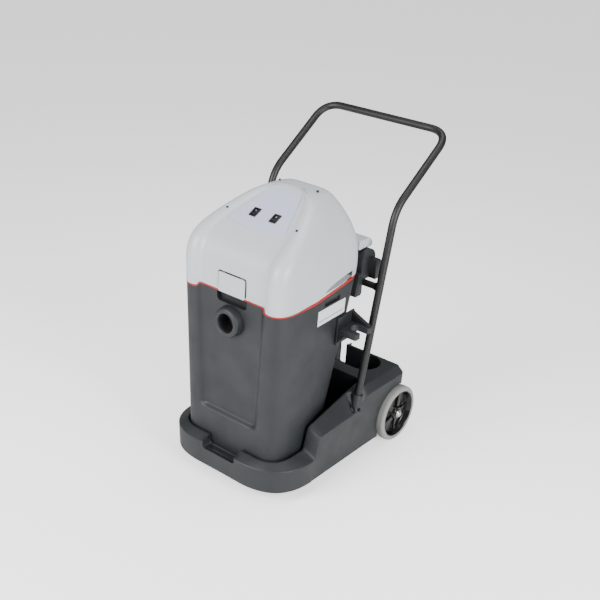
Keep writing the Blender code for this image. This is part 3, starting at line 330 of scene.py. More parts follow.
def bake(obj):
    """Applies every modifier."""
    graph = bpy.context.evaluated_depsgraph_get()
    mesh = bpy.data.meshes.new_from_object(obj.evaluated_get(graph))
    obj.modifiers.clear()
    obj.data = mesh


def combine(obj, operation, meshes):
    """Joins or cuts obj with closed meshes, one after another."""
    for mesh in meshes:
        helper = new_object("helper", mesh)
        modifier = obj.modifiers.new(operation, "BOOLEAN")
        modifier.operation = operation
        modifier.solver = "MANIFOLD"
        modifier.object = helper
        bake(obj)
        bpy.data.objects.remove(helper, do_unlink=True)


def join(obj, meshes):
    combine(obj, "UNION", meshes)


def cut(obj, meshes):
    combine(obj, "DIFFERENCE", meshes)


def wall(obj, thickness):
    modifier = obj.modifiers.new("wall", "SOLIDIFY")
    modifier.thickness = thickness
    modifier.offset = -1.0
    bake(obj)


def soften(obj, width, segments=2, angle=40):
    """Rounds sharp edges over."""
    modifier = obj.modifiers.new("edge", "BEVEL")
    modifier.width = width
    modifier.segments = segments
    modifier.limit_method = "ANGLE"
    modifier.angle_limit = math.radians(angle)
    modifier.harden_normals = False
    bake(obj)


def settle(obj, material, body, slot, replaces=(), sharp=30):
    """Smooth shading, finish and body: the last step for every piece. The slot argument is not used."""
    mesh = obj.data
    mesh.materials.clear()
    mesh.materials.append(material)
    mesh.shade_smooth()
    mesh.set_sharp_from_angle(angle=math.radians(sharp))
    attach(obj, body)
    if replaces:
        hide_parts(*replaces)
    return obj


def piece(name, mesh, *finish):
    """A piece that is ready as soon as its mesh is made."""
    return settle(new_object(name, mesh), *finish)


SIDES = ((1, "right"), (-1, "left"))

# %% [markdown]
# ## Trolley base
# One large moulding: a low rim in front, a slanted step up to leaning side walls, and a raised
# box at the back with a pocket for tools. Each station along the plan is a small chain of points
# from the foot of the wall, over its edge and crest, and down into the bay, so the crest can
# climb along the side while every edge keeps its rounding.

# %% Base sizes
BASE_LOW, BASE_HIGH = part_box("trolley_base")
BASE_HALF, BASE_FRONT, BASE_REAR = 0.258, BASE_LOW.y, BASE_HIGH.y
BASE_BOTTOM, FLOOR_TOP, BASE_WALL = 0.042, 0.085, 0.0045
BAY_HALF, BAY_FRONT, BAY_REAR = 0.206, -0.364, 0.075
FRONT_REACH, REAR_REACH, BAY_FRONT_REACH, BAY_REAR_REACH = 0.165, 0.028, 0.085, 0.030
CREST_END, HUMP_START, HUMP_TOP = -0.016, 0.045, BASE_HIGH.z
POCKET = (0.195, 0.128, 0.244)
POCKET_FLOOR = 0.130
CASTER_X, CASTER_Y, CASTER_TOP = 0.130, -0.235, 0.079
HEIGHTS = [  # y, wall edge, crest
    (-0.400, 0.122, 0.140), (-0.226, 0.122, 0.140), (-0.208, 0.198, 0.216),
    (CREST_END, 0.202, 0.260), (HUMP_START, 0.244, HUMP_TOP), (0.272, 0.244, HUMP_TOP),
]
FOOT = Vector((0.244, 0.006, 0.259))
ELBOW = Vector((0.249, 0.113, 0.877))
GRIP = Vector((0.250, 0.3875, 1.072))
UP = (ELBOW - FOOT).normalized()
WHEEL_CENTRE = (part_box("tyre_right")[0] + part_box("tyre_right")[1]) / 2
WHEEL_RADIUS = 0.100
AXLE_HOLE, TUBE_HOLE, BOLT_HOLE = 0.0104, 0.0128, 0.0058
print("base", BASE_LOW, BASE_HIGH)


# %% Base surface
def sharp_heights(y):
    for (y0, edge0, top0), (y1, edge1, top1) in zip(HEIGHTS, HEIGHTS[1:]):
        if y <= y1:
            t = max(0.0, (y - y0) / (y1 - y0))
            return edge0 + t * (edge1 - edge0), top0 + t * (top1 - top0)
    return HEIGHTS[-1][1:]


def wall_heights(y):
    """Edge and crest height, averaged over a few millimetres so that the breaks are rounded."""
    samples = [sharp_heights(y + offset) for offset in (-0.004, -0.002, 0.0, 0.002, 0.004)]
    return [sum(values) / len(samples) for values in zip(*samples)]


def side_places():
    places = []
    for middle in (-0.226, -0.208, CREST_END):
        places += [middle + offset for offset in (-0.005, -0.003, -0.001, 0.001, 0.003, 0.005)]
    places += [-0.180, -0.150, -0.120, -0.090, -0.060, -0.035, 0.005, 0.022, 0.036]
    return sorted(places)


def base_plan(outer):
    half, front, rear = (BASE_HALF, BASE_FRONT, BASE_REAR) if outer else (BAY_HALF, BAY_FRONT, BAY_REAR)
    reach, rear_reach = (FRONT_REACH, REAR_REACH) if outer else (BAY_FRONT_REACH, BAY_REAR_REACH)
    points = [Vector((x, front)) for x in spread(0.0, half - reach, 4)]
    points += corner((0, front), (half, front), (half, rear), reach, 24)
    points += [Vector((half, y)) for y in side_places()]
    if outer:
        points += [Vector((half, y)) for y in spread(HUMP_START, rear - rear_reach, 8)]
        points += corner((half, front), (half, rear), (0, rear), rear_reach, 14)
        points += [Vector((x, rear)) for x in spread(half - rear_reach, 0.0, 6)[1:]]
    else:
        points += corner((half, front), (half, rear), (0, rear), rear_reach, 12)[:-1]
        points += [Vector((x, rear)) for x in spread(half - rear_reach, 0.0, 16)]
    return points + [Vector((0.0, rear))]


def base_rows():
    outer, bay = base_plan(True), base_plan(False)
    hump_line = inset(whole_plan(outer), 0.020)[:len(outer)]
    middle = Vector((0.0, 0.5 * (BAY_FRONT + BAY_REAR)))
    stations = []
    for out, into, hump in zip(outer, bay, hump_line):
        edge_z, top_z = wall_heights(out.y)
        share = min(1.0, max(0.0, (out.y - CREST_END) / (HUMP_START - CREST_END)))
        gap = (into - out).length
        rim_crest = out + (into - out) * (gap - 0.006) / gap
        crest = rim_crest * (1 - share) + hump * share
        foot = out + (into - out).normalized() * 0.004
        floor = into + (middle - into).normalized() * 0.005
        inner = into + (middle - into).normalized() * 0.030
        chain = [(*foot, BASE_BOTTOM), (*out, edge_z), (*crest, top_z), (*into, top_z),
                 (*floor, FLOOR_TOP), (*inner, FLOOR_TOP)]
        stations.append(round_chain(chain, (0.0032, 0.0028, 0.003, 0.006), 4))
    stations += [[Vector((-p.x, p.y, p.z)) for p in chain] for chain in reversed(stations[1:-1])]
    return [list(row) for row in zip(*stations)]


base = new_object("trolley_moulding", to_mesh(loft(base_rows(), False, True), closed=False))
wall(base, BASE_WALL)
print("base surface", len(base.data.polygons), "faces")

# %% [markdown]
# The pocket, the finger notches and the wheel wells are cut out of the solid. Their mouths flare
# in a quarter circle, because a mould never leaves a knife edge, and the flare is built into
# the cutter.

# %% Pocket, notches and wheel wells
def stadium(half, front, rear, grow=0.0, steps=20):
    radius, middle = 0.5 * (rear - front), 0.5 * (rear + front)
    points = []
    for side in (1, -1):
        for i in range(steps + 1):
            angle = side * (-math.pi / 2 + math.pi * i / steps)
            x = side * (half - radius + (radius + grow) * math.cos(angle))
            points.append((x, middle + side * (radius + grow) * math.sin(side * angle)))
    return points


def flared(plan_at, floor, mouth, radius, floor_round=0.006):
    """A cutter whose plan opens in a quarter circle at its mouth and closes in at its floor."""
    rows = [[(*p, mouth + 0.02) for p in plan_at(radius)]]
    for a in (math.radians(90 * i / 4) for i in range(5)):
        z = floor + floor_round * (1 - math.sin(a))
        rows.append([(*p, z) for p in plan_at(-floor_round * (1 - math.cos(a)))])
    for a in (math.radians(90 * i / 6) for i in range(7)):
        z = mouth - radius * (1 - math.sin(a))
        rows.append([(*p, z) for p in plan_at(radius * (1 - math.cos(a)))])
    rows.sort(key=lambda row: row[0][2])
    return to_mesh(loft(rows, True, True))


def hub(x):
    """A point on the rear wheels' axis."""
    return Vector((x, WHEEL_CENTRE.y, WHEEL_RADIUS))


ARCH, ARCH_INNER = WHEEL_RADIUS + 0.008, 0.225
LINER_INSETS = ((BASE_BOTTOM + 0.0002, 0.0052), (0.122, 0.0014), (0.230, 0.0014))  # height, distance
closed_plan = whole_plan(base_plan(True))
WELL_LINERS, WELLS = [], []
for side, _ in SIDES:
    liner = new_object("liner", cylinder(hub(side * (ARCH_INNER - BASE_WALL)), hub(side * (BASE_HALF + 0.01)),
                                         ARCH + BASE_WALL, 96))
    inside = [[(*p, z) for p in inset(closed_plan, depth)] for z, depth in LINER_INSETS]
    combine(liner, "INTERSECT", [to_mesh(loft(inside, True, True))])
    WELL_LINERS.append(liner.data)
    bpy.data.objects.remove(liner, do_unlink=True)
    WELLS.append(cylinder(hub(side * ARCH_INNER), hub(side * (BASE_HALF + 0.05)), ARCH, 96))
    WELLS.append(cylinder(hub(side * (ARCH_INNER - 0.02)), hub(side * (ARCH_INNER + 0.02)), AXLE_HOLE, 48))
join(base, WELL_LINERS)

SOCKET = [(0.0175, 0.0), (0.0175, 0.094), (0.0165, 0.0965), (0.0005, 0.0965), (0.0005, 0.0)]
half, front, rear = POCKET
cup = prism(stadium(half + 0.005, front - 0.005, rear + 0.005), POCKET_FLOOR - 0.005, HUMP_TOP - 0.004, "z")
front_liner = across(0.073, (BASE_FRONT + 0.0025, 0.080), (BAY_FRONT - 0.001, 0.128))
notch_sill = across(0.073, (BAY_FRONT - 0.003, 0.080), (BAY_FRONT + 0.0042, 0.102))
rear_liner = across(0.025, (rear, 0.175), (BASE_REAR - 0.001, HUMP_TOP - 0.004))
pocket = flared(lambda grow: stadium(half, front, rear, grow), POCKET_FLOOR, HUMP_TOP, 0.004)
front_notch = across(0.068, (BASE_FRONT - 0.02, 0.103), (BAY_FRONT + 0.006, 0.25), 0.009, segments=5)
notch_pit = across(0.064, (BASE_FRONT + 0.0065, 0.086), (BAY_FRONT - 0.002, 0.20), 0.003)
rear_notch = across(0.020, (rear - 0.01, 0.180), (BASE_REAR + 0.02, HUMP_TOP + 0.1), 0.006, segments=4)
SOCKETS, CASTER_BOSSES, SOCKET_TRIMS, CASTER_HOLES, TUBE_HOLES = [], [], [], [], []
for side, _ in SIDES:
    foot = mirrored(FOOT, side)
    SOCKETS.append(turned(SOCKET, along(UP, foot - UP * 0.095), 48))
    SOCKET_TRIMS.append(box((side * (BASE_HALF + 0.0002), FOOT.y - 0.06, 0.12),
                            (side * 0.30, FOOT.y + 0.05, FOOT.z - 0.016)))
    TUBE_HOLES.append(cylinder(foot - UP * 0.090, foot + UP * 0.05, TUBE_HOLE))
    x, y = side * CASTER_X, CASTER_Y
    CASTER_BOSSES.append(cylinder((x, y, 0.057), (x, y, FLOOR_TOP - 0.001), 0.013))
    CASTER_HOLES.append(cylinder((x, y, 0.02), (x, y, CASTER_TOP), BOLT_HOLE))
join(base, [*SOCKETS, cup, front_liner, notch_sill, rear_liner, *CASTER_BOSSES])
cut(base, SOCKET_TRIMS)
cut(base, [*WELLS, pocket, front_notch, notch_pit, rear_notch, *CASTER_HOLES, *TUBE_HOLES])
print("base cut", len(base.data.polygons), "faces")

# %% [markdown]
# Beside each handle foot the slanted crest has a drop-shaped recess. A turned drop, laid along
# the slant, cuts it.

# %% Drop-shaped recess
DROP = [  # radius, place along the slant
    (0.001, -0.004), (0.003, -0.002), (0.0045, 0.002), (0.0070, 0.018), (0.0078, 0.029), (0.0065, 0.034),
    (0.004, 0.0365), (0.001, 0.0375), (0.0002, 0.0375), (0.0002, -0.004),
]
RECESSES = []
for side, _ in SIDES:
    start, end = (mirrored(point, side) for point in ((0.2310, -0.021, 0.2335), (0.2555, -0.0235, 0.2060)))
    RECESSES.append(turned(DROP, along(end - start, start), 32))
cut(base, RECESSES)
settle(base, POLYPROPYLENE_DARK, "trolley", "dark_moulding", ("trolley_base",), 32)
print("base finished", len(base.data.polygons), "faces")

# %% [markdown]
# ## Push handle
# One length of 25 mm tube bent four times. A poly curve with a round bevel would do, but a mesh
# tube keeps its rings square to the bends, so it is lofted along the centre line.

# %% Tube along a line
def tube_mesh(path, radius, sides=32):
    rows, frame_x = [], None
    for i, point in enumerate(path):
        ahead = path[min(i + 1, len(path) - 1)] - path[max(i - 1, 0)]
        tangent = ahead.normalized()
        if frame_x is None:
            frame_x = tangent.orthogonal().normalized()
        frame_x = (frame_x - tangent * frame_x.dot(tangent)).normalized()
        frame_y = tangent.cross(frame_x)
        rows.append([point + radius * (math.cos(a) * frame_x + math.sin(a) * frame_y)
                     for a in circle(sides)])
    return to_mesh(loft(rows, True, True))


foot = FOOT - UP * 0.0895
half_path = [foot] + [foot + (ELBOW - foot) * t for t in (0.2, 0.4, 0.6, 0.8)]
half_path += corner(foot, ELBOW, GRIP, 0.055, 16)
half_path += corner(ELBOW, GRIP, GRIP - Vector((1, 0, 0)), 0.072, 24)
path = half_path + [mirrored(p, -1) for p in reversed(half_path)]
handle = piece("handle_tube", tube_mesh(path, 0.0125), ENAMEL_BLACK, "trolley", "black_tube",
               ("push_handle",), 60)
cross_low, cross_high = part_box("cross_tube")
cross_y, cross_z = (cross_low.y + cross_high.y) / 2, (cross_low.z + cross_high.z) / 2
BAR_END = FOOT.x + (ELBOW.x - FOOT.x) * (cross_z - FOOT.z) / (ELBOW.z - FOOT.z) - 0.0128
bar_line = [Vector((x, cross_y, cross_z)) for x in (-BAR_END, -0.1, 0.1, BAR_END)]
bar = new_object("handle_cross_bar", tube_mesh(bar_line, 0.011))
WELD = [(0.0136, 0.0), (0.0126, 0.0035), (0.0112, 0.006), (0.006, 0.006), (0.006, 0.0)]
join(bar, [turned(WELD, along((-side, 0, 0), (side * BAR_END, cross_y, cross_z)), 32)
           for side, _ in SIDES])
settle(bar, ENAMEL_BLACK, "trolley", "black_tube", ("cross_tube",), 35)
print("handle", len(handle.data.polygons), "faces")

# %% [markdown]
# ## Wheels
# Each rear wheel is a grey rubber tyre with a rounded tread on a glossy black rim. The rim's
# deep dish is stiffened by five broad ribs.

# %% Tyres and rims
RIB = [(0.021, 0.012), (0.079, 0.012), (0.0785, 0.020), (0.060, 0.0185), (0.034, 0.0225), (0.021, 0.024)]
RIB_COUNT, FIRST_RIB = 5, 12
CAP_DOME = [(0.0140, 0.0), (0.0145, 0.0008), (0.0145, 0.0026), (0.0138, 0.0034)]
CAP_DOME += [(0.0126 * math.cos(a), 0.0034 + 0.0072 * math.sin(a))
             for a in map(math.radians, range(0, 86, 10))]
for side, name in SIDES:
    low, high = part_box(f"tyre_{name}")
    width = high.x - low.x
    place = along((side, 0, 0), hub(side * min(abs(low.x), abs(high.x))))
    tread = [(0.0845, 0.0), *arc(0.093, 0.007, 0.007, -90, 0), *arc(0.091, width - 0.009, 0.009, 0, 80),
             (0.0870, width), (0.0845, width - 0.001)]
    piece(f"tyre_tread_{name}", turned(tread, place, 96), TYRE_GREY, f"wheel_{name}", "grey_tyre",
          (f"tyre_{name}",), 40)
    rim_profile = [
        (0.0103, -0.008), (0.020, -0.008), (0.020, 0.010), (0.076, 0.010), (0.078, 0.002),
        (0.0842, 0.002), (0.0842, width - 0.003), *arc(0.0822, width - 0.003, 0.002, 0, 120, 4),
        (0.0790, width - 0.004), (0.0755, 0.017), (0.0735, 0.0145), (0.030, 0.0145), (0.026, 0.0165),
        (0.0235, width - 0.006), (0.0215, width - 0.004), (0.0103, width - 0.004),
    ]
    rim = new_object(f"wheel_rim_{name}", turned(rim_profile, place, 96))
    ribs = []
    for k in range(RIB_COUNT):
        turn = Matrix.Rotation(math.radians(360 / RIB_COUNT * k + FIRST_RIB), 4, "Z")
        rows = [[(r, share * (0.009 + 0.05 * (r - 0.02)), h) for r, h in RIB] for share in (-1, 1)]
        ribs.append(to_mesh(loft(rows, True, True), place @ turn))
    join(rim, ribs)
    soften(rim, 0.0007, 2, 50)
    settle(rim, RIM_GLOSS, f"wheel_{name}", "black_rim", (f"rim_{name}",), 35)
    cap_low, cap_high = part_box(f"axle_cap_{name}")
    cap_place = along((side, 0, 0), hub(side * min(abs(cap_low.x), abs(cap_high.x))))
    rings = [[(r * math.cos(b), r * math.sin(b), h) for b in circle(48)] for r, h in CAP_DOME]
    cap = new_object(f"wheel_cap_{name}", to_mesh(loft(rings, True, True), cap_place))
    cut(cap, [cylinder(hub(side * 0.26), hub(side * 0.2793), 0.0102)])
    settle(cap, ZINC_STEEL, "trolley", "bright_steel", (f"axle_cap_{name}",))
print("wheels done")

# %% [markdown]
# ## Tank
# The tank tapers a little to its foot, and its front carries a sunk panel between two rounded
# shoulders. The panel ends above the foot with rounded lower corners, so both its depth and its
# width are eased over the last few centimetres.

# %% Tank plan
SEAM_Z, SEAM_RISE, SEAM_STEP, SOFT_EDGE_Y = 0.647, 0.108, 0.011, -0.209
PANEL_HALF, PANEL_HALF_LOW, PANEL_FOOT, PANEL_DEPTH, FLUTE = 0.122, 0.097, 0.226, 0.014, 0.018
TANK_FRONT, TANK_LIP, FOOT_ROUND, PANEL_FILLET = -0.368, 0.0009, 0.010, 0.022


def ease(t):
    t = min(1.0, max(0.0, t))
    return t * t * (3 - 2 * t)


def shell_plan(half, front, soft, half_rear, rear, panel_half, depth, flute=FLUTE):
    scale = min(1.0, max(0.15, (half - 0.04) / 0.12))
    flute = flute * scale
    slant = math.hypot(flute, depth)
    shoulder = half - panel_half - 1.6 * flute
    front_reach = (min(0.062, 0.95 * shoulder), min(0.075, 0.6 * (soft - front)))
    soft_reach = min(0.035, 0.22 * (soft - front), 0.4 * (rear - soft))
    rear_reach = min(0.055, 0.5 * (rear - soft), 0.7 * half_rear)
    return outline([
        (panel_half, front + depth, 0.44 * slant, 5), (panel_half + flute, front, 0.50 * slant, 5),
        (half, front, front_reach, 16), (half, soft, soft_reach, 8), (half_rear, rear, rear_reach, 16),
    ])


def tank_plan(z, depth=PANEL_DEPTH):
    down = (SEAM_Z - z) / (SEAM_Z - FLOOR_TOP)
    panel = PANEL_HALF + (PANEL_HALF_LOW - PANEL_HALF) * down
    rise = min(PANEL_FILLET, max(0.0, z - PANEL_FOOT))
    panel -= PANEL_FILLET - math.sqrt(max(0.0, PANEL_FILLET ** 2 - (PANEL_FILLET - rise) ** 2))
    return shell_plan(0.206 - 0.012 * down, TANK_FRONT + 0.010 * down, SOFT_EDGE_Y, 0.196 - 0.030 * down,
                      0.031 - 0.113 * down, panel, depth)


def seam(x, y):
    """Height of the joint between tank and head: a step up over the panel, and a rise to the rear."""
    over_panel = ease((PANEL_HALF + 0.015 - abs(x)) / 0.007) * (1.0 if y < SOFT_EDGE_Y else 0.0)
    side_lift = 0.004 * ease((y + 0.29) / 0.07) + 0.006 * ease((y + 0.06) / 0.09)
    return SEAM_Z + SEAM_RISE * max(0.0, y - SOFT_EDGE_Y) + SEAM_STEP * over_panel + side_lift


def seal_height(y):
    """The seal is a thin line in front and a taller band along the sides."""
    return 0.0046 + 0.0046 * ease((y + 0.30) / 0.08)


# %% Tank surface
LEVEL_TOP = 0.450  # rows are level up to here, and follow the seam above it
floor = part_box("container")[0].z
rows = []
for i in range(6):
    a = math.radians(90 * i / 5)
    foot_plan = inset(tank_plan(floor, 0.0), FOOT_ROUND * (1 - math.cos(a)))
    rows.append([(*p, floor + FOOT_ROUND * (1 - math.sin(a))) for p in foot_plan])
rows.sort(key=lambda row: row[0][2])
rows += [[(*p, z) for p in tank_plan(z, 0.0)] for z in (0.130, 0.180, 0.215)]
for i in range(15):
    z = PANEL_FOOT + 0.0018 * i
    rows.append([(*p, z) for p in tank_plan(z, PANEL_DEPTH * ease(i / 9.0))])
rows += [[(*p, z) for p in tank_plan(z)] for z in (0.290, 0.340, 0.390, LEVEL_TOP)]
rim = tank_plan(SEAM_Z)
for t in (0.25, 0.5, 0.75, 0.9, 1.0):
    between = [q.lerp(r, t) for q, r in zip(tank_plan(LEVEL_TOP), rim)]
    rows.append([(p.x, p.y, LEVEL_TOP + t * (seam(p.x, p.y) - seal_height(p.y) - TANK_LIP - LEVEL_TOP))
                 for p in between])
tank = new_object("tank_moulding", to_mesh(loft(rows, True, False), closed=False))
wall(tank, 0.004)
print("tank surface", len(tank.data.polygons), "faces")

# %% [markdown]
# Fingers reach under the latch through a recess in the panel, and lift the tank by a slot in
# each side. Liners close the tank behind them, except for a thin slit between the recess's liner
# and the seal.

# %% Recesses and inlet hole
def rounded_plate(half_w, low, high, radius, steps=6):
    """A plate outline with four rounded corners."""
    x, bottom, top = half_w - radius, low + radius, high - radius
    return [*arc(x, bottom, radius, -90, 0, steps), *arc(x, top, radius, 0, 90, steps),
            *arc(-x, top, radius, 90, 180, steps), *arc(-x, bottom, radius, 180, 270, steps)]


PANEL_FACE = TANK_FRONT + PANEL_DEPTH
INLET_Z = (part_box("hose_inlet")[0].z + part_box("hose_inlet")[1].z) / 2
SLOT_Y, SLOT_Z, INLET_HOLE = -0.118, 0.626, 0.0363
liners = [across(0.063, (PANEL_FACE + 0.002, 0.618), (PANEL_FACE + 0.019, SEAM_Z - 0.002))]
cuts = [prism(rounded_plate(0.060, 0.622, 0.700, 0.012, 8), PANEL_FACE - 0.03, PANEL_FACE + 0.016, "y"),
        cylinder((0, PANEL_FACE - 0.03, INLET_Z), (0, PANEL_FACE + 0.03, INLET_Z), INLET_HOLE, 64)]
side_turn = math.atan2(0.010, 0.240)
for side, _ in SIDES:
    place = Matrix.Translation((side * 0.2021, SLOT_Y, SLOT_Z)) @ Matrix.Rotation(side * side_turn, 4, "Z")
    behind = place @ Matrix.Translation((-side * 0.015, 0, 0))
    liners.append(across(0.013, (-0.043, -0.011), (0.043, 0.011), 0.0, behind))
    cuts.append(across(0.010, (-0.040, -0.008), (0.040, 0.008), 0.003, place))
join(tank, liners)
cut(tank, cuts)
settle(tank, POLYPROPYLENE_DARK, "tank", "dark_moulding", ("container",))
# A thin black sheet on the back of the finger recess is painted shade.
recess_shade_plan = rounded_plate(0.0592, 0.6228, 0.6480, 0.0112, 8)
piece("latch_recess_shade", prism(recess_shade_plan, PANEL_FACE + 0.0146, PANEL_FACE + 0.0158, "y"), RUBBER_BLACK,
      "tank", "soft_rubber", (), 35)
print("tank finished", len(tank.data.polygons), "faces")

# %% [markdown]
# The hose inlet is a turned boss with a rounded shoulder and a bore for the hose cuff. A black sleeve in the
# bore and a black disc behind it are painted shade for the deep bore.

# %% Hose inlet
INLET_PROFILE = [
    (0.0305, -0.020), (0.036, -0.020), (0.036, -0.0034), (0.0506, -0.0034), (0.0500, 0.004),
    (0.0492, 0.012), (0.0478, 0.021), *arc(0.0380, 0.0225, 0.0095, 0, 90, 10), (0.0345, 0.0320),
    *arc(0.0335, 0.0295, 0.0025, 90, 180), (0.0305, 0.024), (0.0305, 0.014),
]
BORE_SHADE_PROFILE = [(0.0304, -0.012), (0.0304, 0.0255), (0.0298, 0.0262), (0.0292, 0.0255), (0.0292, -0.012)]
inlet_place = along((0, -1, 0), (0, PANEL_FACE + 0.004, INLET_Z))
piece("inlet_boss", turned(INLET_PROFILE, inlet_place, 96), POLYPROPYLENE_DARK, "tank", "dark_moulding",
      ("hose_inlet",), 35)
# Black disc behind the bore and black sleeve inside it: painted shade.
shade_disc_plan = [(0.0302 * math.cos(a), INLET_Z + 0.0302 * math.sin(a)) for a in circle(48)]
piece("inlet_back_shade", prism(shade_disc_plan, PANEL_FACE + 0.018, PANEL_FACE + 0.0195, "y"), RUBBER_BLACK, "tank",
      "soft_rubber", (), 35)
piece("inlet_bore_shade", turned(BORE_SHADE_PROFILE, inlet_place), RUBBER_BLACK, "tank", "soft_rubber", (), 35)

# %% [markdown]
# ## Seal
# The red profile follows the tank's rim, and is taller along the sides behind the shoulders.

# %% Seal ring
SEAL_SECTION = (  # distance inwards, share of the height below the top
    (0.0, 1.0), (-0.0012, 0.75), (-0.0016, 0.4), (-0.0012, 0.1), (0.0, 0.0), (0.0035, 0.0), (0.0035, 1.0),
)
rows = []
for inwards, drop in SEAL_SECTION:
    points = inset(rim, inwards) if inwards else rim
    rows.append([(p.x, p.y, seam(q.x, q.y) - drop * (seal_height(q.y) + 0.0004) - 0.0002)
                 for p, q in zip(points, rim)])
seal = new_object("seal_profile", to_mesh(loft(rows, False, False, ring=True)))
settle(seal, SEAL_RED, "tank", "red_seal", ("seal_ring",), 50)

# %% [markdown]
# ## Motor head
# The head is a dome whose shoulders continue the tank's, with the sunk channel running up over
# the top. Fourteen levels are enough, because a smooth curve through them gives every row
# between.

# %% Head levels
HEAD_LEVELS = [  # height, half width, rear half width, rear face, panel half width, panel face
    (0.700, 0.207, 0.196, 0.038, 0.130, -0.354),
    (0.735, 0.207, 0.195, 0.039, 0.131, -0.354), (0.770, 0.205, 0.191, 0.038, 0.132, -0.3475),
    (0.796, 0.202, 0.184, 0.037, 0.132, -0.333), (0.818, 0.197, 0.174, 0.034, 0.130, -0.308),
    (0.838, 0.188, 0.164, 0.031, 0.126, -0.2755), (0.856, 0.175, 0.152, 0.027, 0.119, -0.2409),
    (0.876, 0.158, 0.137, 0.022, 0.107, -0.2025), (0.896, 0.139, 0.121, 0.015, 0.094, -0.1641),
    (0.912, 0.118, 0.104, 0.006, 0.082, -0.1333), (0.924, 0.096, 0.086, -0.005, 0.070, -0.1103),
    (0.9310, 0.074, 0.065, -0.018, 0.056, -0.0960), (0.9340, 0.052, 0.045, -0.030, 0.038, -0.0850),
    (0.9350, 0.030, 0.026, -0.042, 0.020, -0.0760),
]


def smooth_levels(levels, steps):
    """A Catmull-Rom curve through the levels."""
    made = []
    last = len(levels) - 1
    for i in range(last):
        p0, p1, p2, p3 = (levels[max(0, min(last, k))] for k in (i - 1, i, i + 1, i + 2))
        for k in range(steps):
            t = k / steps
            made.append([0.5 * (2 * b + (c - a) * t + (2 * a - 5 * b + 4 * c - d) * t * t
                                + (3 * b - a - 3 * c + d) * t ** 3) for a, b, c, d in zip(p0, p1, p2, p3)])
    return made + [list(levels[-1])]


def head_plan(level):
    _, half, half_rear, rear, panel, face = level
    depth = PANEL_DEPTH * min(1.0, (half - 0.03) / 0.06)
    front = face - depth
    soft = front + 0.388 * (rear - front)
    return shell_plan(half, front, soft, half_rear, rear, panel, depth)


levels = smooth_levels(HEAD_LEVELS, 5)
skirt = head_plan((0.647, 0.206, 0.196, 0.035, 0.128, -0.354))
first = head_plan(levels[0])
rows = []
for t in (0.0, 0.04, 0.4, 0.7):
    rows.append([(p.x, p.y, (seam(q.x, q.y) + 0.0003) * (1 - t) + levels[0][0] * t)
                 for p, q in ((a.lerp(b, t), a) for a, b in zip(skirt, first))])
rows += [[(*p, level[0]) for p in head_plan(level)] for level in levels]
head = new_object("head_moulding", to_mesh(loft(rows, False, True), closed=False))
wall(head, 0.0035)
print("head surface", len(head.data.polygons), "faces")

# %% [markdown]
# Each side of the head has a lens-shaped louvre just over the seal, where cooling air leaves.
# It is cut through the wall, and a grey backing closes it from inside; a black sliver at the backing's rear
# is painted shadow.
# The latch slot and the cable's hole are cut at the same time.

# %% Louvres and slots in the head
LOUVRE = [(-0.160, 0.6640), (-0.120, 0.6665), (-0.080, 0.6690), (-0.045, 0.6712), (-0.020, 0.6735),
          (-0.0165, 0.6850), (-0.0185, 0.6985), (-0.028, 0.6965), (-0.060, 0.6930), (-0.100, 0.6870),
          (-0.135, 0.6790), (-0.155, 0.6700)]
cuts = [across(0.0545, (-0.384, 0.7100), (-0.334, 0.7227)),
        cylinder((0, 0.0, 0.800), (0, 0.08, 0.800), 0.0073)]
for side, _ in SIDES:
    cuts.append(prism(LOUVRE, side * 0.185, side * 0.230, "x"))
cut(head, cuts)
settle(head, ABS_LIGHT, "head", "light_moulding", ("head_cover",), 28)


def side_face(level_z, y):
    """The head's flat side at a height: its distance from the middle at a place along it."""
    level = min(levels, key=lambda row: abs(row[0] - level_z))
    front = level[5] - PANEL_DEPTH
    soft = front + 0.388 * (level[3] - front)
    share = max(0.0, (y - soft) / (level[3] - soft))
    return level[1] + (level[2] - level[1]) * share


for side, name in SIDES:
    grown = [(y + (0.003 if y > -0.09 else -0.003), z + (0.003 if z > 0.68 else -0.002)) for y, z in LOUVRE]
    grown = [(y, max(z, seam(0.2, y) + 0.0015)) for y, z in grown]
    rows = []
    for depth in (0.0038, 0.0056):
        rows.append([(side * (side_face(0.70, y) - depth - (0.004 if z > 0.68 else 0.0)), y, z)
                     for y, z in grown])
    piece(f"louvre_back_{name}", to_mesh(loft(rows, True, True)), ABS_DARK_GREY, "head", "dark_moulding")
    # A thin black sliver at the rear of the louvre is painted shadow.
    shade = [(-0.045, 0.6885), (-0.0185, 0.6915), (-0.0180, 0.6750), (-0.024, 0.6840)]
    rows = [[(side * (side_face(0.70, y) - depth), y, z) for y, z in shade] for depth in (0.0030, 0.0035)]
    piece(f"louvre_shadow_{name}", to_mesh(loft(rows, True, True)), NYLON_BLACK, "head", "black_plastic")
print("head finished", len(head.data.polygons), "faces")

# %% [markdown]
# ## Control plate and switches
# The slope of the channel carries a satin plate with a bowed front edge, and two rocker
# switches stand in black frames. A small pale dot marks the on side of each rocker.

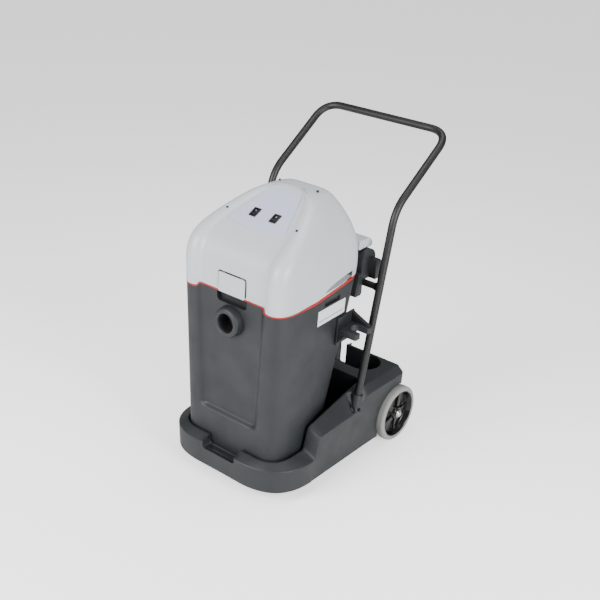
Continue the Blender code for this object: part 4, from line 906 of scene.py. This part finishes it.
# %% Control plate
SWITCH_X = 0.0395
SLOPE = math.radians(27.5)
SLOPE_PLACE = Matrix.Translation((0, -0.214, 0.870)) @ Matrix.Rotation(SLOPE, 4, "X")
plan = []
for i in range(13):
    x = -0.105 + 0.210 * i / 12
    plan.append((x, -0.0485 - 0.0145 * (1 - (x / 0.105) ** 2)))
plan += [(0.1085, -0.046), (0.109, -0.040)]
plan += [(0.109 + (0.062 - 0.109) * t, -0.040 + 0.140 * t) for t in (0.25, 0.5, 0.75)]
plan += [(0.0600, 0.1045), (0.0560, 0.1110), (0.0480, 0.1150)]
plan += [(-x, y) for x, y in reversed(plan[13:])]
rows = [[(x, y, 0.0002) for x, y in plan], [(x, y, 0.0022) for x, y in plan],
        [(x * 0.994, y * 0.994, 0.0030) for x, y in plan]]
plate = new_object("control_plate", to_mesh(loft(rows, True, True), SLOPE_PLACE))
openings = [box((side * SWITCH_X - 0.0104, -0.0154, -0.03), (side * SWITCH_X + 0.0104, 0.0154, 0.03),
                0.0, SLOPE_PLACE) for side, _ in SIDES]
cut(plate, openings)
settle(plate, PLATE_SATIN, "head", "control_plate", ("control_panel",))

# %% Switch frames and rockers
FRAME_FOOT, ROCKER_AXIS, ROCKER_REST = 0.0034, 0.0024, math.radians(-9)
ROCKER = [*arc(0.0, 0.0, 0.0118, 180, 360, 20), (0.0114, 0.0040), (0.0106, 0.0047), (0.0060, 0.0036),
          (0.0, 0.0028), (-0.0060, 0.0036), (-0.0106, 0.0047), (-0.0114, 0.0040)]
DOT = [(0.0002, 0.0), (0.0017, 0.0), (0.0015, 0.0004), (0.0002, 0.0005)]


def switch_box(x, half_x, half_y, low, high, bevel=0.0):
    return box((x - half_x, -half_y, low), (x + half_x, half_y, high), bevel, SLOPE_PLACE)


for side, name in SIDES:
    x = side * SWITCH_X
    flange = switch_box(x, 0.013, 0.018, FRAME_FOOT, FRAME_FOOT + 0.0026, 0.0010)
    bezel = new_object(f"switch_frame_{name}", flange)
    join(bezel, [switch_box(x, 0.010, 0.015, FRAME_FOOT - 0.016, FRAME_FOOT + 0.001)])
    hollow = cylinder((x - 0.0078, 0, ROCKER_AXIS), (x + 0.0078, 0, ROCKER_AXIS), 0.0124, 64)
    hollow.transform(SLOPE_PLACE)
    cut(bezel, [hollow, switch_box(x, 0.0078, 0.0124, ROCKER_AXIS, FRAME_FOOT + 0.02)])
    settle(bezel, NYLON_BLACK, "head", "black_plastic", (f"switch_bezel_{name}",))
    tilt = SLOPE_PLACE @ Matrix.Translation((x, 0, ROCKER_AXIS)) @ Matrix.Rotation(ROCKER_REST, 4, "X")
    rocker = new_object(f"rocker_{name}", prism(ROCKER, -0.0075, 0.0075, "x", tilt))
    soften(rocker, 0.0005, 2, 50)
    settle(rocker, NYLON_BLACK, f"rocker_{name}", "black_plastic", (f"switch_rocker_{name}",))
    dot_place = tilt @ Matrix.Translation((0, 0.0062, 0.0033)) @ Matrix.Rotation(-ROCKER_REST, 4, "X")
    piece(f"rocker_dot_{name}", turned(DOT, dot_place, 24), VINYL_WHITE, f"rocker_{name}", "control_plate")
print("controls done")

# %% [markdown]
# ## Latch
# A flap with softly rounded corners hangs on a pin behind its top edge. A thin black frame round it is
# painted shadow for the fine dark gap around the flap.

# %% Latch flap
LATCH_LOW, LATCH_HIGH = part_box("front_latch")
flap_plan = rounded_plate(LATCH_HIGH.x, LATCH_LOW.z, LATCH_HIGH.z, 0.006)
flap = new_object("latch_flap_plate", prism(flap_plan, -0.3581, -0.3549, "y"))
soften(flap, 0.0009, 3, 50)
lugs = [box((side * 0.037 - 0.007, -0.3555, 0.7125), (side * 0.037 + 0.007, -0.3500, 0.7188), 0.0006)
        for side, _ in SIDES]
join(flap, lugs)
settle(flap, ABS_LIGHT, "latch", "light_moulding", ("front_latch",))
# Thin black frame round the flap: painted shadow for the gap.
gap_shadow_outer = rounded_plate(LATCH_HIGH.x + 0.0036, 0.6600, LATCH_HIGH.z + 0.0040, 0.009)
gap_shadow_inner = rounded_plate(LATCH_HIGH.x - 0.004, 0.6700, 0.7085, 0.005)
gap_shadow = new_object("latch_gap_shadow", prism(gap_shadow_outer, -0.3553, -0.3537, "y"))
cut(gap_shadow, [prism(gap_shadow_inner, -0.36, -0.35, "y"),
             across(0.0544, (-0.37, 0.7095), (-0.34, 0.7232))])
settle(gap_shadow, RUBBER_BLACK, "head", "soft_rubber")
# A thin black sheet behind the latch slot is painted shade.
piece("latch_slot_shade", prism(rounded_plate(0.0542, 0.7092, 0.7235, 0.002), -0.3468, -0.3460, "y"),
      RUBBER_BLACK, "head", "soft_rubber")

# %% [markdown]
# ## Rear bracket and hinge cap
# The dark carrier hooks over the cross tube. Its long edges are rounded about 2 mm. The
# light cap over it belongs to the head and turns on the same pin.

# %% Bracket
PIN_Y, PIN_Z, PIN_HOLE, BARREL, EAR_X = 0.083, 0.700, 0.0043, 0.036, 0.105
BRACKET_TOP, BRACKET_LOW, BRACKET_FOOT = 0.6629, 0.591, 0.585
HOOK_Z = 0.6366


def tank_rear(z):
    return 0.031 - 0.113 * (SEAM_Z - z) / (SEAM_Z - FLOOR_TOP)


def pin_hole(half_length, sides):
    return cylinder((-half_length, PIN_Y, PIN_Z), (half_length, PIN_Y, PIN_Z), PIN_HOLE, sides)


leg_back, front_y, back_y = cross_y - 0.012, PIN_Y - BARREL, PIN_Y + BARREL
profile = [
    (back_y, HOOK_Z), *arc(PIN_Y, PIN_Z, BARREL, 0, 180, 30), (front_y, BRACKET_TOP),
    (tank_rear(BRACKET_TOP) + 0.0006, BRACKET_TOP), (tank_rear(BRACKET_LOW) + 0.0006, BRACKET_LOW),
    (tank_rear(BRACKET_FOOT) + 0.006, BRACKET_FOOT), (leg_back - 0.006, BRACKET_FOOT),
    (leg_back, BRACKET_LOW), (leg_back, HOOK_Z),
]
wing = [(0.090, HOOK_Z), (back_y - 0.001, HOOK_Z), (back_y - 0.001, 0.696), (back_y - 0.007, 0.702),
        (0.090, 0.702)]
bracket = new_object("tank_carrier", prism(profile, -0.188, 0.188, "x"))
join(bracket, [prism(wing, -0.212, 0.212, "x")])
soften(bracket, 0.0018, 3, 35)
cuts = [across(0.087, (front_y + 0.006, HOOK_Z + 0.006), (back_y + 0.02, PIN_Z + BARREL + 0.02), 0.004),
        pin_hole(0.222, 32)]
for side, _ in SIDES:
    cuts.append(box((side * EAR_X - 0.010, PIN_Y - 0.060, PIN_Z - 0.015),
                    (side * EAR_X + 0.010, PIN_Y + 0.060, 0.756)))
cut(bracket, cuts)
settle(bracket, POLYPROPYLENE_DARK, "tank", "dark_moulding", ("rear_bracket",))

# %% Hinge cap
cap_y, cap_end, cap_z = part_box("hinge_cap")[0].y, 0.111, 0.7395
cap_top, cap_brow = cap_z + 0.030, cap_z + 0.012
cap_profile = [(cap_y, cap_z), (cap_end, cap_z), (cap_end + 0.003, cap_z + 0.004),
               (cap_end + 0.0015, cap_brow)]
cap_profile += corner((cap_end + 0.001, cap_brow), (cap_end - 0.008, cap_top), (cap_y, cap_top), 0.017, 8)
cap_profile += [(cap_y, cap_top)]
hinge_cap = new_object("hinge_cover", prism(cap_profile, -0.176, 0.176, "x"))
soften(hinge_cap, 0.0035, 4, 45)
cut(hinge_cap, [across(0.172, (cap_y + 0.006, cap_z - 0.01), (cap_end - 0.003, cap_brow))])
EAR = [*arc(PIN_Y, PIN_Z, 0.014, 180, 360, 18), (PIN_Y + 0.014, cap_z + 0.016),
       (PIN_Y - 0.014, cap_z + 0.016)]
ears = [prism(EAR, side * EAR_X - 0.009, side * EAR_X + 0.009, "x") for side, _ in SIDES]
join(hinge_cap, ears)
cut(hinge_cap, [pin_hole(0.2, 32)])
settle(hinge_cap, ABS_LIGHT, "head", "light_moulding", ("hinge_cap",))
# A thin black strip under the cap's rim is painted shadow for the dark gap between cap and bracket.
shadow_strip = across(0.1735, (cap_y + 0.004, 0.7366), (cap_end - 0.0015, 0.7415), 0.0006)
cap_shadow = new_object("hinge_cover_shadow", shadow_strip)
cut(cap_shadow, [box((side * EAR_X - 0.012, cap_y, 0.72),
                   (side * EAR_X + 0.012, cap_end - 0.008, 0.76)) for side, _ in SIDES])
settle(cap_shadow, RUBBER_BLACK, "head", "soft_rubber")
print("bracket and cap done")

# %% [markdown]
# ## Label and tool holder
# The label is a blank white vinyl plate with rounded corners. The tool holder is a fork whose
# slot opens outwards. Two gussets under it and a web on top carry the load into its backplate.

# %% Label
LABEL_Y, LABEL_Z = -0.118, 0.588


def side_plane(y, z):
    """Distance of the tank's flat side from the middle at a place on it, and its turn about Z."""
    down = (SEAM_Z - z) / (SEAM_Z - FLOOR_TOP)
    front_half, rear_half = 0.206 - 0.012 * down, 0.196 - 0.030 * down
    length = tank_rear(z) - SOFT_EDGE_Y
    share = (y - SOFT_EDGE_Y) / length
    return front_half + (rear_half - front_half) * share, math.atan2(front_half - rear_half, length)


label_x, label_turn = side_plane(LABEL_Y, LABEL_Z)
lean = math.atan2(0.012, SEAM_Z - FLOOR_TOP)
label_place = (Matrix.Translation((label_x, LABEL_Y, LABEL_Z)) @ Matrix.Rotation(label_turn, 4, "Z")
               @ Matrix.Rotation(lean, 4, "Y"))
piece("side_plate", prism(rounded_plate(0.073, -0.025, 0.025, 0.002), 0.0006, 0.0017, "x", label_place),
      VINYL_WHITE, "tank", "control_plate", ("side_label",))
band_plan = rounded_plate(0.066, -0.0125, -0.0095, 0.001)
piece("side_plate_band", prism(band_plan, 0.0016, 0.0019, "x", label_place), ABS_DARK_GREY, "tank",
      "dark_moulding")

# %% Tool holder
fork_top, near, far, tip = 0.517, -0.079, 0.012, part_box("tool_holder")[1].x
near_x, far_x = side_plane(near, fork_top)[0], side_plane(far, fork_top)[0]
middle, slot_half, slot_end = 0.5 * (near + far), 0.020, tip - 0.030
slot_arc = [(slot_end - slot_half * math.cos(a), middle + slot_half * math.sin(a))
            for a in map(math.radians, range(-80, 81, 10))]
plan = [
    (near_x + 0.004, near), (tip - 0.006, near), (tip - 0.0018, near + 0.0018), (tip, near + 0.006),
    (tip, middle - slot_half - 0.002), (tip - 0.002, middle - slot_half), *slot_arc,
    (tip - 0.002, middle + slot_half), (tip, middle + slot_half + 0.002), (tip, far - 0.005),
    (tip - 0.005, far), (far_x + 0.004, far),
]
fork = new_object("tool_fork", prism(plan, fork_top - 0.020, fork_top, "z"))
soften(fork, 0.0012, 3, 40)
rows = []
for z in (fork_top - 0.060, fork_top + 0.036):
    near_face, far_face = (x + 0.0214 * (z - fork_top) + 0.0012 for x in (near_x, far_x))
    rows.append([(near_face - 0.0003, near - 0.002, z), (near_face + 0.0067, near - 0.002, z),
                 (far_face + 0.007, far + 0.002, z), (far_face, far + 0.002, z)])
backplate = new_object("backplate", to_mesh(loft(rows, True, True)))
soften(backplate, 0.0010, 2, 40)
web = [(near_x + 0.005, fork_top - 0.055), (near_x + 0.034, fork_top - 0.018),
       (near_x + 0.005, fork_top - 0.004)]
gussets = [prism(web, y, y + 0.005, "y") for y in (near + 0.001, far - 0.006)]
crown = [(far_x + 0.004, fork_top - 0.004), (tip - 0.006, fork_top - 0.004), (tip - 0.004, fork_top + 0.001),
         (far_x + 0.005, fork_top + 0.034)]
gussets.append(prism(crown, far - 0.014, far - 0.001, "y"))
join(fork, [backplate.data, *gussets])
bpy.data.objects.remove(backplate, do_unlink=True)
settle(fork, POLYPROPYLENE_DARK, "tank", "dark_moulding", ("tool_holder",))
print("label and fork done")

# %% [markdown]
# ## Small fixings
# The cover screws have a cross recess. A cylinder with two crossed boxes cut out of its head is
# enough at this size.

# %% Cover screws
SCREW = [(0.0002, -0.0053), (0.0040, -0.0053), (0.0040, 0.0050), (0.0034, 0.0058), (0.0002, 0.0060)]
for end, lift in (("front", 0.0030), ("rear", 0.0005)):
    for side, name in SIDES:
        node = NODES[f"cover_screw_{end}_{name}"]
        places = [v.co for v in node.data.vertices]
        centre = node.matrix_world @ (sum(places, Vector()) / len(places))
        largest = max(node.data.polygons, key=lambda face: face.area)
        normal = (node.matrix_world.to_3x3() @ largest.normal).normalized()
        normal = normal if normal.z > 0 else -normal
        place = along(normal, centre + normal * lift)
        screw = new_object(f"screw_{end}_{name}", turned(SCREW, place, 32))
        cut(screw, [across(0.0024, (-0.0006, 0.003), (0.0006, 0.008), 0.0, place),
                    across(0.0006, (-0.0024, 0.003), (0.0024, 0.008), 0.0, place)])
        settle(screw, NYLON_BLACK, "head", "black_plastic", (f"cover_screw_{end}_{name}",))

# %% [markdown]
# The pieces inside and under the machine keep their modelled shape and get a finish of their
# own: casters, axles, motors, float and deck.

# %% Finishes for the modelled pieces
KEPT = {
    "rear_axle": ZINC_STEEL, "hinge_pin": ZINC_STEEL, "latch_pin": ZINC_STEEL,
    "motor_deck": POLYPROPYLENE_DARK, "float_cage": POLYPROPYLENE_DARK,
    "float_ball": BALL_WHITE, "cable_gland": NYLON_BLACK,
}
for _, name in SIDES:
    KEPT.update({
        f"handle_bolt_{name}": BLACK_STEEL, f"caster_fork_{name}": ZINC_STEEL,
        f"caster_axle_{name}": ZINC_STEEL, f"caster_wheel_{name}": TYRE_GREY,
        f"motor_{name}": PRESSED_ALUMINIUM, f"motor_seal_{name}": RUBBER_BLACK,
    })
for name, material in KEPT.items():
    mesh = NODES[name].data
    mesh.materials.clear()
    mesh.materials.append(material)
print("kept", len(KEPT), "modelled pieces")

# %% [markdown]
# ## Stage
# A pale floor without an edge, broad soft lights, and a camera in front, to the right and above.

# %% Floor and light
floor_mesh = bmesh.new()
bmesh.ops.create_grid(floor_mesh, x_segments=1, y_segments=1, size=30.0)
stage_floor = new_object("stage_floor", to_mesh(floor_mesh, closed=False))
FLOOR_WHITE = bpy.data.materials.new("studio_floor")
FLOOR_WHITE.use_nodes = True
floor_tree = FLOOR_WHITE.node_tree
floor_shader = floor_tree.nodes["Principled BSDF"]
floor_shader.inputs["Base Color"].default_value = linear("#FFFFFF")
floor_shader.inputs["Roughness"].default_value = 0.9
floor_shader.inputs["Emission Color"].default_value = (1.0, 1.0, 1.0, 1.0)
seen = add_node(floor_tree, "ShaderNodeLightPath")
floor_tree.links.new(seen.outputs["Is Camera Ray"], floor_shader.inputs["Emission Strength"])
stage_floor.data.materials.append(FLOOR_WHITE)
world = bpy.data.worlds.new("studio")
bpy.context.scene.world = world
world.use_nodes = True
world.node_tree.nodes["Background"].inputs["Color"].default_value = (1.0, 1.0, 1.0, 1.0)
world.node_tree.nodes["Background"].inputs["Strength"].default_value = 0.30


def soft_light(name, place, target, size, power):
    lamp = bpy.data.lights.new(name, "AREA")
    lamp.shape = "RECTANGLE"
    lamp.size, lamp.size_y = size
    lamp.energy = power
    made = bpy.data.objects.new(name, lamp)
    made.location = place
    made.rotation_euler = (Vector(target) - Vector(place)).to_track_quat("-Z", "Y").to_euler()
    bpy.context.scene.collection.objects.link(made)


soft_light("key", (-0.7, -3.0, 2.0), (0, 0, 0.5), (1.6, 2.0), 150)
soft_light("side", (3.1, -0.7, 1.6), (0, 0, 0.5), (1.4, 2.2), 135)
soft_light("top", (0.2, 0.3, 3.2), (0, 0, 0.5), (1.8, 1.8), 40)

# %% Camera
CAMERA_PLACE = Vector((1.77804, -2.33514, 1.90332))
AZIMUTH, ELEVATION, ROLL = math.radians(37.5125), math.radians(25.2257), math.radians(3.5006)
back_axis = Vector((math.cos(ELEVATION) * math.sin(AZIMUTH), -math.cos(ELEVATION) * math.cos(AZIMUTH),
                    math.sin(ELEVATION)))
level_right = Vector((math.cos(AZIMUTH), math.sin(AZIMUTH), 0.0))
level_up = back_axis.cross(level_right)
right = level_right * math.cos(ROLL) + level_up * math.sin(ROLL)
up_axis = level_up * math.cos(ROLL) - level_right * math.sin(ROLL)
camera_data = bpy.data.cameras.new("camera")
camera_data.lens = 58.92
camera_data.sensor_width = 36.0
camera = bpy.data.objects.new("camera", camera_data)
turn = Matrix((right, up_axis, back_axis)).transposed().to_4x4()
camera.matrix_world = Matrix.Translation(CAMERA_PLACE) @ turn
bpy.context.scene.collection.objects.link(camera)
bpy.context.scene.camera = camera
print("camera", camera.location)
